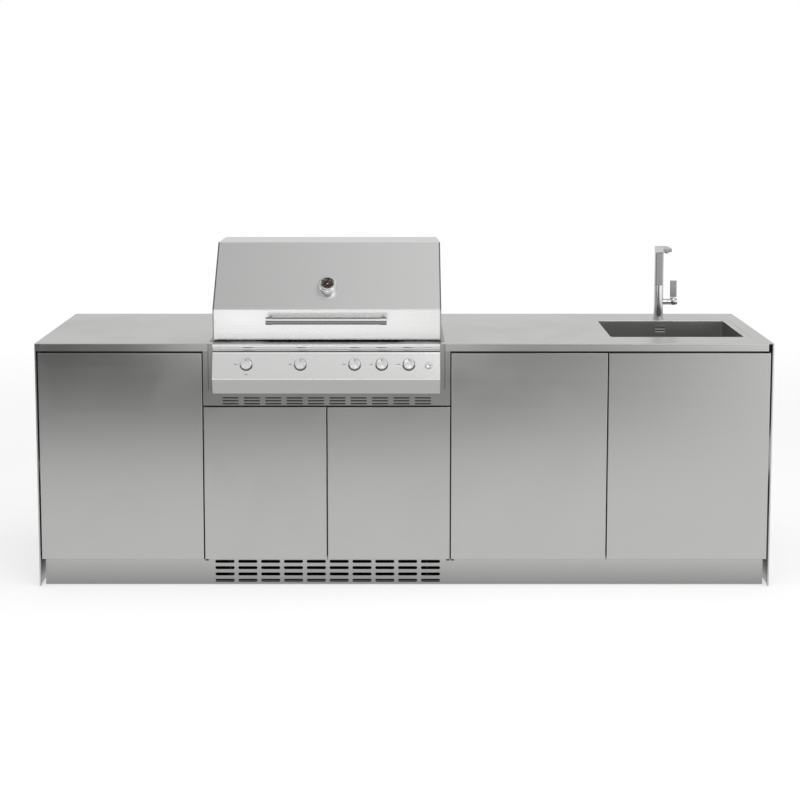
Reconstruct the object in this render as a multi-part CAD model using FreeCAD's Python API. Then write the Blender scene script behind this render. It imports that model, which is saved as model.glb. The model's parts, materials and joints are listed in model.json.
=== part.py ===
import FreeCAD, Part
import math
import os

# Outdoor kitchen: three stainless bays with a drop-in gas grill and a sink.
# Millimetres, +Z up, X left to right, doors face -Y. While modelling, y = 0 is the plane of the door
# fronts; the finished pieces move back so that the origin lies under the middle of the whole box.

# Bays and worktop
LEFT_BAY = 612.0
SINK_LEAF_LEFT = 576.0
SINK_LEAF_RIGHT = 604.0
FASCIA_SIDE = 40.0
DEPTH = 750.0
TOP_Z = 910.0
SHEET = 1.5
APRON_HEIGHT = 28.0
APRON_RETURN = 15.0
END_NOTCH = 19.0
FOLD_RADIUS = 2.5

# Carcass
CARCASS_FRONT = 24.0
BACK_OVERHANG = 15.0
PANEL_EDGE = 5.0
PANEL_RETURN = 20.0
PANEL_REAR_FLANGE = 20.0
FLOOR_GAP = 2.5
PARTITION = 2.0
HEM_WIDTH = 8.0
HEM_DEPTH = 10.0
CABINET_FLOOR_Z = 112.0
BACK_BOTTOM = 20.0
RAIL_HEIGHT = 45.0
RAIL_DEPTH = 18.0
SHELF_Z = 480.0
SHELF_SETBACK = 60.0
SHELF_LIP = 25.0
SERVICE_WIDTH = 260.0
SERVICE_HEIGHT = 160.0
SERVICE_Z = 330.0
SERVICE_INSET = 60.0
SERVICE_RADIUS = 15.0

# Plinth and feet
PLINTH_HEIGHT = 97.0
PLINTH_RECESS = 22.0
PLINTH_FLANGE = 36.0
PLINTH_SLOT = (71.5, 11.5)
PLINTH_SLOT_PITCH = (84.8, 24.0)
PLINTH_SLOT_COUNT = (10, 4)
PLINTH_SLOT_CENTRE_Z = 52.6
FOOT_PAD_RADIUS = 22.0
FOOT_PAD_HEIGHT = 6.0
FOOT_STEM_RADIUS = 6.0
FOOT_PLATE_RADIUS = 18.0
FOOT_PLATE = 4.0
FOOT_INSET = 80.0

# Doors and their pivots
DOOR_BOTTOM = 103.0
DOOR_THICK = 20.0
DOOR_GAP = 4.0
DOOR_END_GAP = 5.5
SHADOW_GAP = 7.0
PIVOT_INSET = 6.0
PIVOT_RADIUS = 3.0
PIVOT_CLEARANCE = 0.05
PIVOT_DEPTH = 12.0
PIVOT_PLAY = 2.0
PIVOT_BLOCK = (14.5, 30.0)
BRACKET_PLATE = 3.0
BRACKET_LEG = 14.0
BRACKET_MARGIN = 1.0
CATCH_SIZE = (40.0, 15.0)
CATCH_OFFSET = 60.0
CATCH_GAP = 0.3

# Grill control panel, fascia and rail
PANEL_WIDTH = 828.0
PANEL_TOP = 2.0
PANEL_NOSE_Y = -25.0
PANEL_NOSE_RADIUS = 5.0
PANEL_NOSE_DROP = 8.0
PANEL_COVE_Y = -15.0
PANEL_COVE_DROP = 29.0
PANEL_COVE_DEPTH = 8.0
PANEL_FOLD_Y = -45.0
PANEL_FOLD_DROP = 123.0
PANEL_BASE_Y = -22.0
PANEL_BASE_DROP = 180.0
PANEL_BACK_Y = 50.0
PANEL_CLEARANCE = 1.0
FASCIA_HEIGHT = 229.0
FASCIA_DOOR_GAP = 6.0
FASCIA_LAP = 8.0
FASCIA_SLIT = 1.5
FASCIA_SLIT_LENGTH = 170.0
FASCIA_SLOT = (59.5, 4.5)
FASCIA_SLOT_PITCH = (78.2, 10.85)
FASCIA_SLOT_COUNT = (10, 3)
FASCIA_SLOT_DROP = 211.5
GRILL_RAIL_DROP = 41.0

# Knobs, igniter, valves and gas manifold
BURNER_COUNT = 4
KNOB_FROM_LEFT = 123.5
KNOB_FROM_RIGHT = 113.5
KNOB_DROP = 44.0
KNOB_RADIUS = 21.5
KNOB_FACE_RADIUS = 18.5
KNOB_HEIGHT = 25.0
KNOB_EDGE = 1.0
KNOB_LIFT = 0.6
KNOB_HOLE = 7.0
KNOB_MARK = (3.0, 6.0, 0.8)
BEZEL_RADIUS = 24.0
BEZEL_THICK = 2.0
STEM_RADIUS = 4.0
STEM_CLEARANCE = 0.05
STEM_DEPTH = 24.0
VALVE_RADIUS = 9.0
VALVE_BLOCK = 24.0
VALVE_NECK = 28.0
VALVE_LENGTH = 50.0
IGNITER_FROM_RIGHT = 40.5
IGNITER_DROP = 50.0
IGNITER_RADIUS = 11.0
IGNITER_HEIGHT = 10.0
IGNITER_RING = 15.0
IGNITER_TRAVEL = 4.0
IGNITER_CLEARANCE = 0.1
IGNITER_DEPTH = 20.0
MANIFOLD_SIZE = 24.0
MANIFOLD_WALL = 2.0
MANIFOLD_END = 30.0
GAS_INLET_RADIUS = 10.48
GAS_INLET_LENGTH = 30.0

# Firebox and what it holds
FIREBOX_SIDE_INSET = 14.0
FIREBOX_FRONT = 62.0
FIREBOX_BACK = 545.0
FIREBOX_DEPTH = 230.0
FLANGE_SIDE = 18.0
FLANGE_BACK = 608.0
CUTOUT_REAR_CLEARANCE = 8.0
LEDGE = 12.0
GRATE_LEDGE_DROP = 42.0
TAMER_LEDGE_DROP = 85.0
BURNER_DROP = 125.0
BURNER_RADIUS = 16.0
BURNER_NECK = 11.0
BURNER_NECK_FRONT = 40.0
BURNER_END_GAP = 20.0
BURNER_SPIGOT = 5.0
SEAT_CLEARANCE = 0.3
TAMER_WIDTH = 110.0
TAMER_HEIGHT = 36.0
TAMER_END_GAP = 2.0
GRATE_COUNT = 3
GRATE_ROD = 4.0
GRATE_RODS = 11
GRATE_GAP = 4.0
REAR_BURNER = (560.0, 22.0, 80.0)
REAR_BURNER_FRAME = 12.0
REAR_BURNER_RECESS = 6.0
RACK_ROD = 4.0
RACK_WIRE = 3.0
RACK_OUT = 6.0
RACK_HEIGHT = 120.0
RACK_FRONT = 400.0
RACK_BACK = 530.0
RACK_RODS = 6
GREASE_HOLE = (320.0, 220.0)
TRAY_DEPTH = 22.0
TRAY_MARGIN = 20.0
RUNNER = 12.0
TRAY_GRIP = 12.0

# Hood
HOOD_OVERHANG = 6.0
HOOD_FRONT_Y = 45.0
HOOD_GAP = 8.0
HOOD_BAND_TOP = 120.0
HOOD_SHOULDER_Y = 262.0
HOOD_SHOULDER = 345.0
HOOD_CREST_Y = 425.0
HOOD_CREST = 350.0
HOOD_BACK_Y = 574.0
HOOD_BACK_TOP = 240.0
HOOD_BACK_BOTTOM = 62.0
HOOD_SHEET = 1.5
HOOD_CAP = 2.0
HOOD_BEND = 6.0
HOOD_CORNER = 12.0
HINGE_Y = 588.0
HINGE_HEIGHT = 30.0
HINGE_LOBE = 12.0
HINGE_PIN_RADIUS = 6.0
HINGE_CLEARANCE = 0.05
HINGE_EAR = 6.0
HINGE_EAR_GAP = 1.0
HINGE_EAR_RADIUS = 10.0
HINGE_FOOT = 24.0
HANDLE_LENGTH = 440.0
HANDLE_RADIUS = 13.0
HANDLE_HEIGHT = 85.0
HANDLE_Y = -10.0
COLLAR_LENGTH = 24.0
COLLAR_RADIUS = 14.0
POST_RADIUS = 8.0
THERMO_UP = 100.0
THERMO_BASE_RADIUS = 38.5
THERMO_FOOT = 5.0
THERMO_DOME_STEPS = 6
THERMO_RIM_RADIUS = 28.0
THERMO_HEIGHT = 28.0
THERMO_DIAL_RADIUS = 25.5
THERMO_DIAL_DEPTH = 7.0
THERMO_GLASS = 1.5
THERMO_GLASS_GAP = 0.2
THERMO_STEM_RADIUS = 4.0
THERMO_STEM_LENGTH = 40.0
NEEDLE_LENGTH = 19.0
NEEDLE_TAIL = 6.0
NEEDLE_WIDTH = 2.0
NEEDLE_THICK = 0.8
NEEDLE_LIFT = 1.2
ARBOR_RADIUS = 1.2
ARBOR_CLEARANCE = 0.05
NEEDLE_HUB = 3.0
NEEDLE_REST = 130.0

# Sink and waste
SINK_FROM_LEFT = 854.0
BOWL_WIDTH = 500.0
BOWL_LENGTH = 400.0
BOWL_DEPTH = 190.0
BOWL_RADIUS = 15.0
BOWL_SHEET = 1.2
BOWL_FILLET = 10.0
SINK_FLANGE = 24.0
SINK_LAP = 12.0
SINK_GAP = 0.3
SINK_REST = 2.0
DRAIN_HOLE = 30.0
STRAINER_FLANGE = 44.0
STRAINER_FLANGE_THICK = 1.5
STRAINER_WALL = 2.0
STRAINER_LENGTH = 55.0
STRAINER_PLATE_DROP = 14.0
STRAINER_HOLE = 1.8
STRAINER_HOLES = 12
STRAINER_HOLE_CIRCLE = 17.0
OVERFLOW_SIZE = (50.0, 32.0)
OVERFLOW_DROP = 35.0
OVERFLOW_THICK = 2.0
OVERFLOW_SLOT = (34.0, 4.0)
OVERFLOW_SLOT_PITCH = 11.0
TRAP_RADIUS = 34.0
TRAP_LENGTH = 130.0
TRAP_OUTLET_RADIUS = 20.0
TRAP_OUTLET_DROP = 40.0
TRAP_OUTLET_END = 640.0
TRAP_WALL = 2.0
TRAP_OUTLET_BORE = 60.0
TRAP_COLLAR_RADIUS = 27.0
TRAP_COLLAR = 20.0
TRAP_STUB = 60.0

# Mixer tap, heights above the worktop
TAP_OFFSET = 4.0
TAP_FROM_BACK = 122.0
TAP_SETBACK = 49.0
TAP_HOLE = 17.5
TAP_FLANGE_RADIUS = 23.0
TAP_FLANGE = 3.0
TAP_RADIUS = 19.0
TAP_BODY = 135.0
TAP_SHANK_RADIUS = 16.0
TAP_SHANK = 55.0
TAP_INLET_RADIUS = 4.5
TAP_INLET_DEPTH = 15.0
TAP_INLET_PITCH = 15.0
TAP_NUT_RADIUS = 27.0
TAP_NUT = 10.0
TAP_NUT_CLEARANCE = 0.3
RISER_SIZE = (33.0, 30.0)
RISER_RADIUS = 5.0
RISER_TOP = 265.0
RISER_GAP = 0.5
SPIGOT_RADIUS = 13.0
SPIGOT_CLEARANCE = 0.05
SPIGOT_DEPTH = 25.0
RING_HEIGHT = 2.5
RING_INSET = 1.2
SPOUT_REACH = 200.0
SPOUT_BACK = 27.0
SPOUT_TIP_TOP = 38.0
SPOUT_TIP = 13.0
SPOUT_ARCH = 120.0
SPOUT_EDGE = 2.0
NOZZLE_RADIUS = 10.0
NOZZLE_LENGTH = 3.0
LEVER_HEIGHT = 67.0
LEVER_HUB_RADIUS = 12.0
LEVER_HUB_END = 34.0
LEVER_STEM_END = 74.0
LEVER_STEM_GAP = 0.5
LEVER_JOURNAL_RADIUS = 6.0
LEVER_JOURNAL = 10.0
LEVER_CLEARANCE = 0.05
LEVER_PIVOT_X = 59.0
LEVER_PIN_RADIUS = 2.5
LEVER_EYE_RADIUS = 6.0
LEVER_EYE_WIDTH = 9.0
LEVER_EYE_PLAY = 0.4
LEVER_POCKET_BACK = 8.0
LEVER_POCKET_FRONT = 11.0
LEVER_NECK_RADIUS = 4.0
LEVER_COLLAR_RADIUS = 6.0
LEVER_COLLAR_LIFT = 17.0
PADDLE_LIFT = 20.0
PADDLE_TOP = 86.0
PADDLE_WIDTH = 27.0
PADDLE_THICK = 6.0
PADDLE_RADIUS = 2.0

# Places that follow from the sizes
GRILL_BAY = PANEL_WIDTH + 2 * FASCIA_SIDE
WIDTH = LEFT_BAY + GRILL_BAY + SINK_LEAF_LEFT + SINK_LEAF_RIGHT
X_LEFT = -WIDTH / 2
X_GRILL = X_LEFT + LEFT_BAY
X_SINK = X_GRILL + GRILL_BAY
X_MEET = X_SINK + SINK_LEAF_LEFT
X_RIGHT = X_LEFT + WIDTH
GRILL_X = X_GRILL + GRILL_BAY / 2
SINK_X = X_SINK + SINK_FROM_LEFT
TAP_X = SINK_X + TAP_OFFSET
TAP_Y = DEPTH - TAP_FROM_BACK
BOWL_FRONT = TAP_Y - TAP_SETBACK - SINK_FLANGE - BOWL_LENGTH
UNDER_TOP = TOP_Z - SHEET
CARCASS_BACK = DEPTH - BACK_OVERHANG
BACK_FACE = CARCASS_BACK - 2 * SHEET
DOOR_TOP = TOP_Z - APRON_HEIGHT - SHADOW_GAP
APRON_BOTTOM = TOP_Z - APRON_HEIGHT
FASCIA_BOTTOM = TOP_Z - FASCIA_HEIGHT
FASCIA_SLIT_FOOT = TOP_Z - FASCIA_SLIT_LENGTH
GRILL_DOOR_TOP = FASCIA_BOTTOM - FASCIA_DOOR_GAP
GRILL_RAIL_BOTTOM = FASCIA_BOTTOM - GRILL_RAIL_DROP
PANEL_X0 = GRILL_X - PANEL_WIDTH / 2
PANEL_X1 = GRILL_X + PANEL_WIDTH / 2
FLANGE_X0 = PANEL_X0 - FLANGE_SIDE
FLANGE_X1 = PANEL_X1 + FLANGE_SIDE
FIREBOX_X0 = PANEL_X0 + FIREBOX_SIDE_INSET
FIREBOX_X1 = PANEL_X1 - FIREBOX_SIDE_INSET
FIREBOX_BOTTOM = TOP_Z - FIREBOX_DEPTH
BURNER_PITCH = (PANEL_WIDTH - KNOB_FROM_LEFT - KNOB_FROM_RIGHT) / (BURNER_COUNT - 1)
BURNER_X = [PANEL_X0 + KNOB_FROM_LEFT + i * BURNER_PITCH for i in range(BURNER_COUNT)]
KNOB_X = BURNER_X[:-1] + [(BURNER_X[-2] + BURNER_X[-1]) / 2, BURNER_X[-1]]
IGNITER_X = PANEL_X1 - IGNITER_FROM_RIGHT
HOOD_X0 = PANEL_X0 - HOOD_OVERHANG
HOOD_X1 = PANEL_X1 + HOOD_OVERHANG
HOOD_TURN = HOOD_CORNER + HOOD_CAP
HINGE_Z = TOP_Z + HINGE_HEIGHT
PANEL_SLOPE = math.atan2(PANEL_COVE_Y - PANEL_FOLD_Y, PANEL_FOLD_DROP - PANEL_COVE_DROP)
HOOD_SLOPE = math.atan2(HOOD_SHOULDER_Y - HOOD_FRONT_Y, HOOD_SHOULDER - HOOD_BAND_TOP)

V = FreeCAD.Vector
ALONG_X = V(1, 0, 0)
ALONG_Y = V(0, 1, 0)
ALONG_Z = V(0, 0, 1)
pieces = {}


# Shape helpers
def keep(name, *solids):
    """Put the solids of one node aside under its name."""
    pieces[name] = solids[0] if len(solids) == 1 else Part.makeCompound(list(solids))


def box(x0, x1, y0, y1, z0, z1):
    return Part.makeBox(x1 - x0, y1 - y0, z1 - z0, V(x0, y0, z0))


def rod(start, direction, radius, length):
    return Part.makeCylinder(radius, length, start, direction)


def fused(*solids):
    return solids[0].multiFuse(list(solids[1:])).removeSplitter()


def swept(face, vector):
    solid = face.extrude(vector)
    if solid.Volume < 0:
        solid.reverse()
    return solid


def rectangle(u0, u1, v0, v1, radius=0.0):
    """Corners of a rectangle, each with the same rounding."""
    return [(u0, v0, radius), (u1, v0, radius), (u1, v1, radius), (u0, v1, radius)]


def outline(corners, to_space):
    """Closed wire through (u, v) corners; a third number rounds that corner with a tangent arc."""
    spots = [V(corner[0], corner[1], 0) for corner in corners]
    runs = []
    for i, corner in enumerate(corners):
        radius = corner[2] if len(corner) > 2 else 0.0
        back = (spots[i - 1] - spots[i]).normalize()
        ahead = (spots[(i + 1) % len(spots)] - spots[i]).normalize()
        if radius == 0:
            runs.append((spots[i], None, spots[i]))
            continue
        half = back.getAngle(ahead) / 2
        reach = radius / math.tan(half)
        bulge = radius / math.sin(half) - radius
        runs.append((spots[i] + back * reach, spots[i] + (back + ahead).normalize() * bulge,
                     spots[i] + ahead * reach))
    edges = []
    for i, (start, middle, end) in enumerate(runs):
        following = runs[(i + 1) % len(runs)][0]
        if middle:
            edges.append(Part.Arc(to_space(start), to_space(middle), to_space(end)).toShape())
        if (following - end).Length > 1e-6:
            edges.append(Part.LineSegment(to_space(end), to_space(following)).toShape())
    return Part.Wire(edges)


def prism_x(corners, x0, x1):
    """Solid with a (y, z) outline between two X places."""
    wire = outline(corners, lambda p: V(x0, p.x, p.y))
    return swept(Part.Face(wire), ALONG_X * (x1 - x0))


def prism_y(corners, y0, y1):
    """Solid with an (x, z) outline between two Y places."""
    wire = outline(corners, lambda p: V(p.x, y0, p.y))
    return swept(Part.Face(wire), ALONG_Y * (y1 - y0))


def prism_z(corners, z0, z1):
    """Solid with an (x, y) outline between two heights."""
    wire = outline(corners, lambda p: V(p.x, p.y, z0))
    return swept(Part.Face(wire), ALONG_Z * (z1 - z0))


def turned(profile):
    """Solid of revolution about Z from (radius, height) points."""
    points = [V(radius, 0, height) for radius, height in profile]
    solid = Part.Face(Part.makePolygon(points + points[:1])).revolve(V(), ALONG_Z, 360)
    if solid.Volume < 0:
        solid.reverse()
    return solid


def slot_field(size, pitch, count, x, z, y0, y1):
    """Stadium cutters in rows and columns, centred on (x, z)."""
    cutters = []
    for column in range(count[0]):
        for row in range(count[1]):
            cx = x + (column - (count[0] - 1) / 2) * pitch[0]
            cz = z + (row - (count[1] - 1) / 2) * pitch[1]
            shape = rectangle(cx - size[0] / 2, cx + size[0] / 2, cz - size[1] / 2, cz + size[1] / 2,
                              size[1] / 2)
            cutters.append(prism_y(shape, y0, y1))
    return cutters


def channel(y0, y1, z0, z1, x0, x1, open_side):
    """Folded C channel along X; open_side is the side of the section that stays open."""
    corners = rectangle(y0, y1, z0, z1)
    inner = {"back": (y0 + SHEET, y1, z0 + SHEET, z1 - SHEET),
             "front": (y0, y1 - SHEET, z0 + SHEET, z1 - SHEET),
             "below": (y0 + SHEET, y1 - SHEET, z0, z1 - SHEET)}[open_side]
    return prism_x(corners, x0, x1).cut(prism_x(rectangle(*inner), x0, x1))


# Carcass
BAYS = [(X_LEFT + SHEET, X_GRILL - HEM_WIDTH / 2),
        (X_GRILL + HEM_WIDTH / 2, X_SINK - HEM_WIDTH / 2),
        (X_SINK + HEM_WIDTH / 2, X_RIGHT - SHEET)]


def side_panel(outer_x, inward):
    """Outer skin with a hemmed front edge and a rear flange, drawn in plan from its outer face."""
    plan = [(0, 0), (PANEL_EDGE, 0), (PANEL_EDGE, PANEL_RETURN), (PANEL_EDGE - SHEET, PANEL_RETURN),
            (PANEL_EDGE - SHEET, SHEET), (SHEET, SHEET), (SHEET, CARCASS_BACK - SHEET),
            (PANEL_REAR_FLANGE, CARCASS_BACK - SHEET), (PANEL_REAR_FLANGE, CARCASS_BACK), (0, CARCASS_BACK)]
    return prism_z([(outer_x + inward * d, y) for d, y in plan], FLOOR_GAP, UNDER_TOP)


def partition(x):
    """Upright sheet between two bays, with a hem along its front edge."""
    web = PARTITION / 2
    hem = HEM_WIDTH / 2
    plan = [(-hem, CARCASS_FRONT), (hem, CARCASS_FRONT), (hem, CARCASS_FRONT + HEM_DEPTH),
            (web, CARCASS_FRONT + HEM_DEPTH), (web, BACK_FACE), (-web, BACK_FACE),
            (-web, CARCASS_FRONT + HEM_DEPTH), (-hem, CARCASS_FRONT + HEM_DEPTH)]
    return prism_z([(x + d, y) for d, y in plan], PLINTH_HEIGHT, UNDER_TOP)


def foot(x, y):
    """Levelling foot: pad, neck, threaded stem and the plate under the cabinet floor."""
    top = CABINET_FLOOR_Z - SHEET
    shape = turned([(0, 0), (FOOT_PAD_RADIUS, 0), (FOOT_PAD_RADIUS, FOOT_PAD_HEIGHT),
                    (FOOT_STEM_RADIUS, 2 * FOOT_PAD_HEIGHT), (FOOT_STEM_RADIUS, top - FOOT_PLATE),
                    (FOOT_PLATE_RADIUS, top - FOOT_PLATE), (FOOT_PLATE_RADIUS, top), (0, top)])
    return shape.translated(V(x, y, 0))


def build_carcass():
    keep("side_panel_left", side_panel(X_LEFT, 1))
    keep("side_panel_right", side_panel(X_RIGHT, -1))
    keep("partition_left", partition(X_GRILL))
    keep("partition_right", partition(X_SINK))
    floors = [channel(CARCASS_FRONT, BACK_FACE, PLINTH_HEIGHT, CABINET_FLOOR_Z, x0, x1, "below")
              for x0, x1 in BAYS]
    keep("cabinet_floors", *floors)
    keep("levelling_feet", *[foot(x, y) for x0, x1 in BAYS for x in (x0 + FOOT_INSET, x1 - FOOT_INSET)
                             for y in (CARCASS_FRONT + FOOT_INSET, BACK_FACE - FOOT_INSET)])

    backs = []
    for x0, x1 in [(X_LEFT + SHEET, X_GRILL), (X_GRILL, X_SINK), (X_SINK, X_RIGHT - SHEET)]:
        middle = x1 - SERVICE_INSET - SERVICE_WIDTH / 2
        sheet = box(x0, x1, BACK_FACE, BACK_FACE + SHEET, BACK_BOTTOM, UNDER_TOP)
        hole = rectangle(middle - SERVICE_WIDTH / 2, middle + SERVICE_WIDTH / 2,
                         SERVICE_Z - SERVICE_HEIGHT / 2, SERVICE_Z + SERVICE_HEIGHT / 2, SERVICE_RADIUS)
        backs.append(sheet.cut(prism_y(hole, BACK_FACE, BACK_FACE + SHEET)))
    keep("back_panels", *backs)

    rail_back = CARCASS_FRONT + RAIL_DEPTH
    rails = [channel(CARCASS_FRONT, rail_back, UNDER_TOP - RAIL_HEIGHT, UNDER_TOP, x0, x1, "back")
             for x0, x1 in (BAYS[0], BAYS[2])]
    rails.append(channel(CARCASS_FRONT, rail_back, GRILL_RAIL_BOTTOM, FASCIA_BOTTOM + APRON_HEIGHT,
                         *BAYS[1], "back"))
    rails += [channel(BACK_FACE - RAIL_DEPTH, BACK_FACE, UNDER_TOP - RAIL_HEIGHT, UNDER_TOP, x0, x1, "front")
              for x0, x1 in BAYS]
    keep("top_rails", *rails)

    keep("shelf_left", channel(CARCASS_FRONT + SHELF_SETBACK, BACK_FACE, SHELF_Z - SHELF_LIP, SHELF_Z,
                               X_LEFT + SHEET, X_GRILL - PARTITION / 2, "below"))


def build_plinth():
    x0 = X_LEFT + END_NOTCH
    x1 = X_RIGHT - END_NOTCH
    shape = channel(PLINTH_RECESS, PLINTH_RECESS + PLINTH_FLANGE, FLOOR_GAP, PLINTH_HEIGHT, x0, x1, "back")
    slots = slot_field(PLINTH_SLOT, PLINTH_SLOT_PITCH, PLINTH_SLOT_COUNT, GRILL_X, PLINTH_SLOT_CENTRE_Z,
                       PLINTH_RECESS, PLINTH_RECESS + SHEET)
    keep("plinth", shape.cut(slots))


def sink_plan(margin, radius):
    """Rounded outline round the bowl's mouth, wider than it by margin on each side."""
    return rectangle(SINK_X - BOWL_WIDTH / 2 - margin, SINK_X + BOWL_WIDTH / 2 + margin,
                     BOWL_FRONT - margin, BOWL_FRONT + BOWL_LENGTH + margin, radius)


def build_worktop():
    """Top sheet with folded front and rear edges, the grill notch, the sink seat and the tap hole."""
    notch = (PANEL_X0 - PANEL_CLEARANCE, PANEL_X1 + PANEL_CLEARANCE)
    section = [(0, APRON_BOTTOM), (0, TOP_Z, FOLD_RADIUS), (DEPTH, TOP_Z, FOLD_RADIUS), (DEPTH, APRON_BOTTOM),
               (DEPTH - SHEET, APRON_BOTTOM), (DEPTH - SHEET, UNDER_TOP, FOLD_RADIUS - SHEET),
               (SHEET, UNDER_TOP, FOLD_RADIUS - SHEET), (SHEET, APRON_BOTTOM + SHEET),
               (APRON_RETURN, APRON_BOTTOM + SHEET), (APRON_RETURN, APRON_BOTTOM)]
    shape = prism_x(section, X_LEFT, X_RIGHT)
    skirt = [box(x0, x1, y0, y1, APRON_BOTTOM, UNDER_TOP)
             for x0, x1, y0, y1 in [(X_LEFT, X_LEFT + END_NOTCH, 0, APRON_RETURN),
                                    (X_RIGHT - END_NOTCH, X_RIGHT, 0, APRON_RETURN),
                                    (FLANGE_X0 - FASCIA_SLIT, FLANGE_X1 + FASCIA_SLIT, 0, APRON_RETURN),
                                    (X_LEFT, X_LEFT + END_NOTCH, DEPTH - SHEET, DEPTH),
                                    (X_RIGHT - END_NOTCH, X_RIGHT, DEPTH - SHEET, DEPTH)]]
    seat = prism_z(sink_plan(SINK_FLANGE + SINK_LAP, BOWL_RADIUS), UNDER_TOP - SINK_REST, UNDER_TOP)
    shape = shape.cut(skirt).fuse(seat)
    cuts = [box(*notch, 0, FIREBOX_BACK + CUTOUT_REAR_CLEARANCE, APRON_BOTTOM, TOP_Z),
            prism_z(sink_plan(SINK_FLANGE + SINK_GAP, BOWL_RADIUS), UNDER_TOP, TOP_Z),
            prism_z(sink_plan(SINK_FLANGE - SINK_LAP, BOWL_RADIUS), UNDER_TOP - SINK_REST, UNDER_TOP),
            rod(V(TAP_X, TAP_Y, UNDER_TOP - SINK_REST), ALONG_Z, TAP_HOLE, SHEET + SINK_REST)]
    keep("worktop", shape.cut(cuts).removeSplitter())


def build_fascia():
    """U-shaped plate round the control panel: vent slots below it, a slit beside each ear."""
    x0 = X_GRILL + DOOR_GAP / 2
    x1 = X_SINK - DOOR_GAP / 2
    shape = fused(box(x0, x1, 0, SHEET, FASCIA_BOTTOM, APRON_BOTTOM),
                  box(FLANGE_X0, FLANGE_X1, 0, SHEET, APRON_BOTTOM, UNDER_TOP),
                  box(x0, x1, 0, CARCASS_FRONT, FASCIA_BOTTOM, FASCIA_BOTTOM + SHEET))
    window = box(PANEL_X0 + FASCIA_LAP, PANEL_X1 - FASCIA_LAP, 0, SHEET,
                 TOP_Z - PANEL_BASE_DROP + FASCIA_LAP, TOP_Z)
    slits = [box(x, x + FASCIA_SLIT, 0, SHEET, FASCIA_SLIT_FOOT, APRON_BOTTOM)
             for x in (FLANGE_X0 - FASCIA_SLIT, FLANGE_X1)]
    slots = slot_field(FASCIA_SLOT, FASCIA_SLOT_PITCH, FASCIA_SLOT_COUNT, GRILL_X,
                       TOP_Z - FASCIA_SLOT_DROP, 0, SHEET)
    keep("grill_fascia", shape.cut([window] + slits + slots))


# Doors: name, left edge, right edge, top, hinge side
DOORS = [("left", X_LEFT + PANEL_EDGE + DOOR_END_GAP, X_GRILL - DOOR_GAP / 2, DOOR_TOP, "left"),
         ("grill_left", X_GRILL + DOOR_GAP / 2, GRILL_X - DOOR_GAP / 2, GRILL_DOOR_TOP, "left"),
         ("grill_right", GRILL_X + DOOR_GAP / 2, X_SINK - DOOR_GAP / 2, GRILL_DOOR_TOP, "right"),
         ("sink_left", X_SINK + DOOR_GAP / 2, X_MEET - DOOR_GAP / 2, DOOR_TOP, "left"),
         ("sink_right", X_MEET + DOOR_GAP / 2, X_RIGHT - PANEL_EDGE - DOOR_END_GAP, DOOR_TOP, "right")]


def pivot_x(x0, x1, hinge):
    return x0 + PIVOT_INSET if hinge == "left" else x1 - PIVOT_INSET


def build_door(name, x0, x1, top, hinge):
    """Folded outer pan, and an inner liner that carries a bored pivot block at both hinge corners."""
    x_pin = pivot_x(x0, x1, hinge)
    pan = box(x0, x1, 0, DOOR_THICK, DOOR_BOTTOM, top)
    hollow = box(x0 + SHEET, x1 - SHEET, SHEET, DOOR_THICK, DOOR_BOTTOM + SHEET, top - SHEET)
    height = top - DOOR_BOTTOM
    pin_foot = V(x_pin, PIVOT_INSET, DOOR_BOTTOM)
    pin_hole = rod(pin_foot, ALONG_Z, PIVOT_RADIUS + SEAT_CLEARANCE, height)
    keep(f"door_{name}_pan", pan.cut([hollow, pin_hole]))

    back = box(x0 + SHEET, x1 - SHEET, DOOR_THICK - SHEET, DOOR_THICK, DOOR_BOTTOM + SHEET, top - SHEET)
    block_x = x0 + SHEET if hinge == "left" else x1 - SHEET - PIVOT_BLOCK[0]
    blocks = [box(block_x, block_x + PIVOT_BLOCK[0], SHEET, DOOR_THICK - SHEET, z, z + PIVOT_BLOCK[1])
              for z in (DOOR_BOTTOM + SHEET, top - SHEET - PIVOT_BLOCK[1])]
    bore = rod(pin_foot, ALONG_Z, PIVOT_RADIUS + PIVOT_CLEARANCE, height)
    keep(f"door_{name}_liner", fused(back, *blocks).cut(bore))


def pivot_bracket(x_pin, door_edge, into_door):
    """Plate beside the door edge with a pivot pin, and a leg against the carcass front."""
    half = PIVOT_INSET
    near = door_edge - into_door * PIVOT_PLAY
    far = near - into_door * BRACKET_PLATE
    leg_end = near + into_door * BRACKET_LEG
    plate = box(x_pin - half, x_pin + half, PIVOT_INSET - PIVOT_RADIUS - BRACKET_MARGIN, CARCASS_FRONT,
                min(near, far), max(near, far))
    leg = box(x_pin - half, x_pin + half, CARCASS_FRONT - SHEET, CARCASS_FRONT, min(far, leg_end),
              max(far, leg_end))
    pin = rod(V(x_pin, PIVOT_INSET, near), ALONG_Z * into_door, PIVOT_RADIUS, PIVOT_PLAY + PIVOT_DEPTH)
    return fused(plate, leg, pin)


def build_doors():
    brackets = []
    catches = []
    for name, x0, x1, top, hinge in DOORS:
        build_door(name, x0, x1, top, hinge)
        x_pin = pivot_x(x0, x1, hinge)
        brackets.append(pivot_bracket(x_pin, DOOR_BOTTOM, 1))
        brackets.append(pivot_bracket(x_pin, top, -1))
        x_catch = x1 - CATCH_OFFSET if hinge == "left" else x0 + CATCH_OFFSET
        catches.append(box(x_catch - CATCH_SIZE[0] / 2, x_catch + CATCH_SIZE[0] / 2, DOOR_THICK + CATCH_GAP,
                           CARCASS_FRONT, top - CATCH_SIZE[1], top))
    keep("pivot_brackets", *brackets)
    keep("magnetic_catches", *catches)


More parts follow.
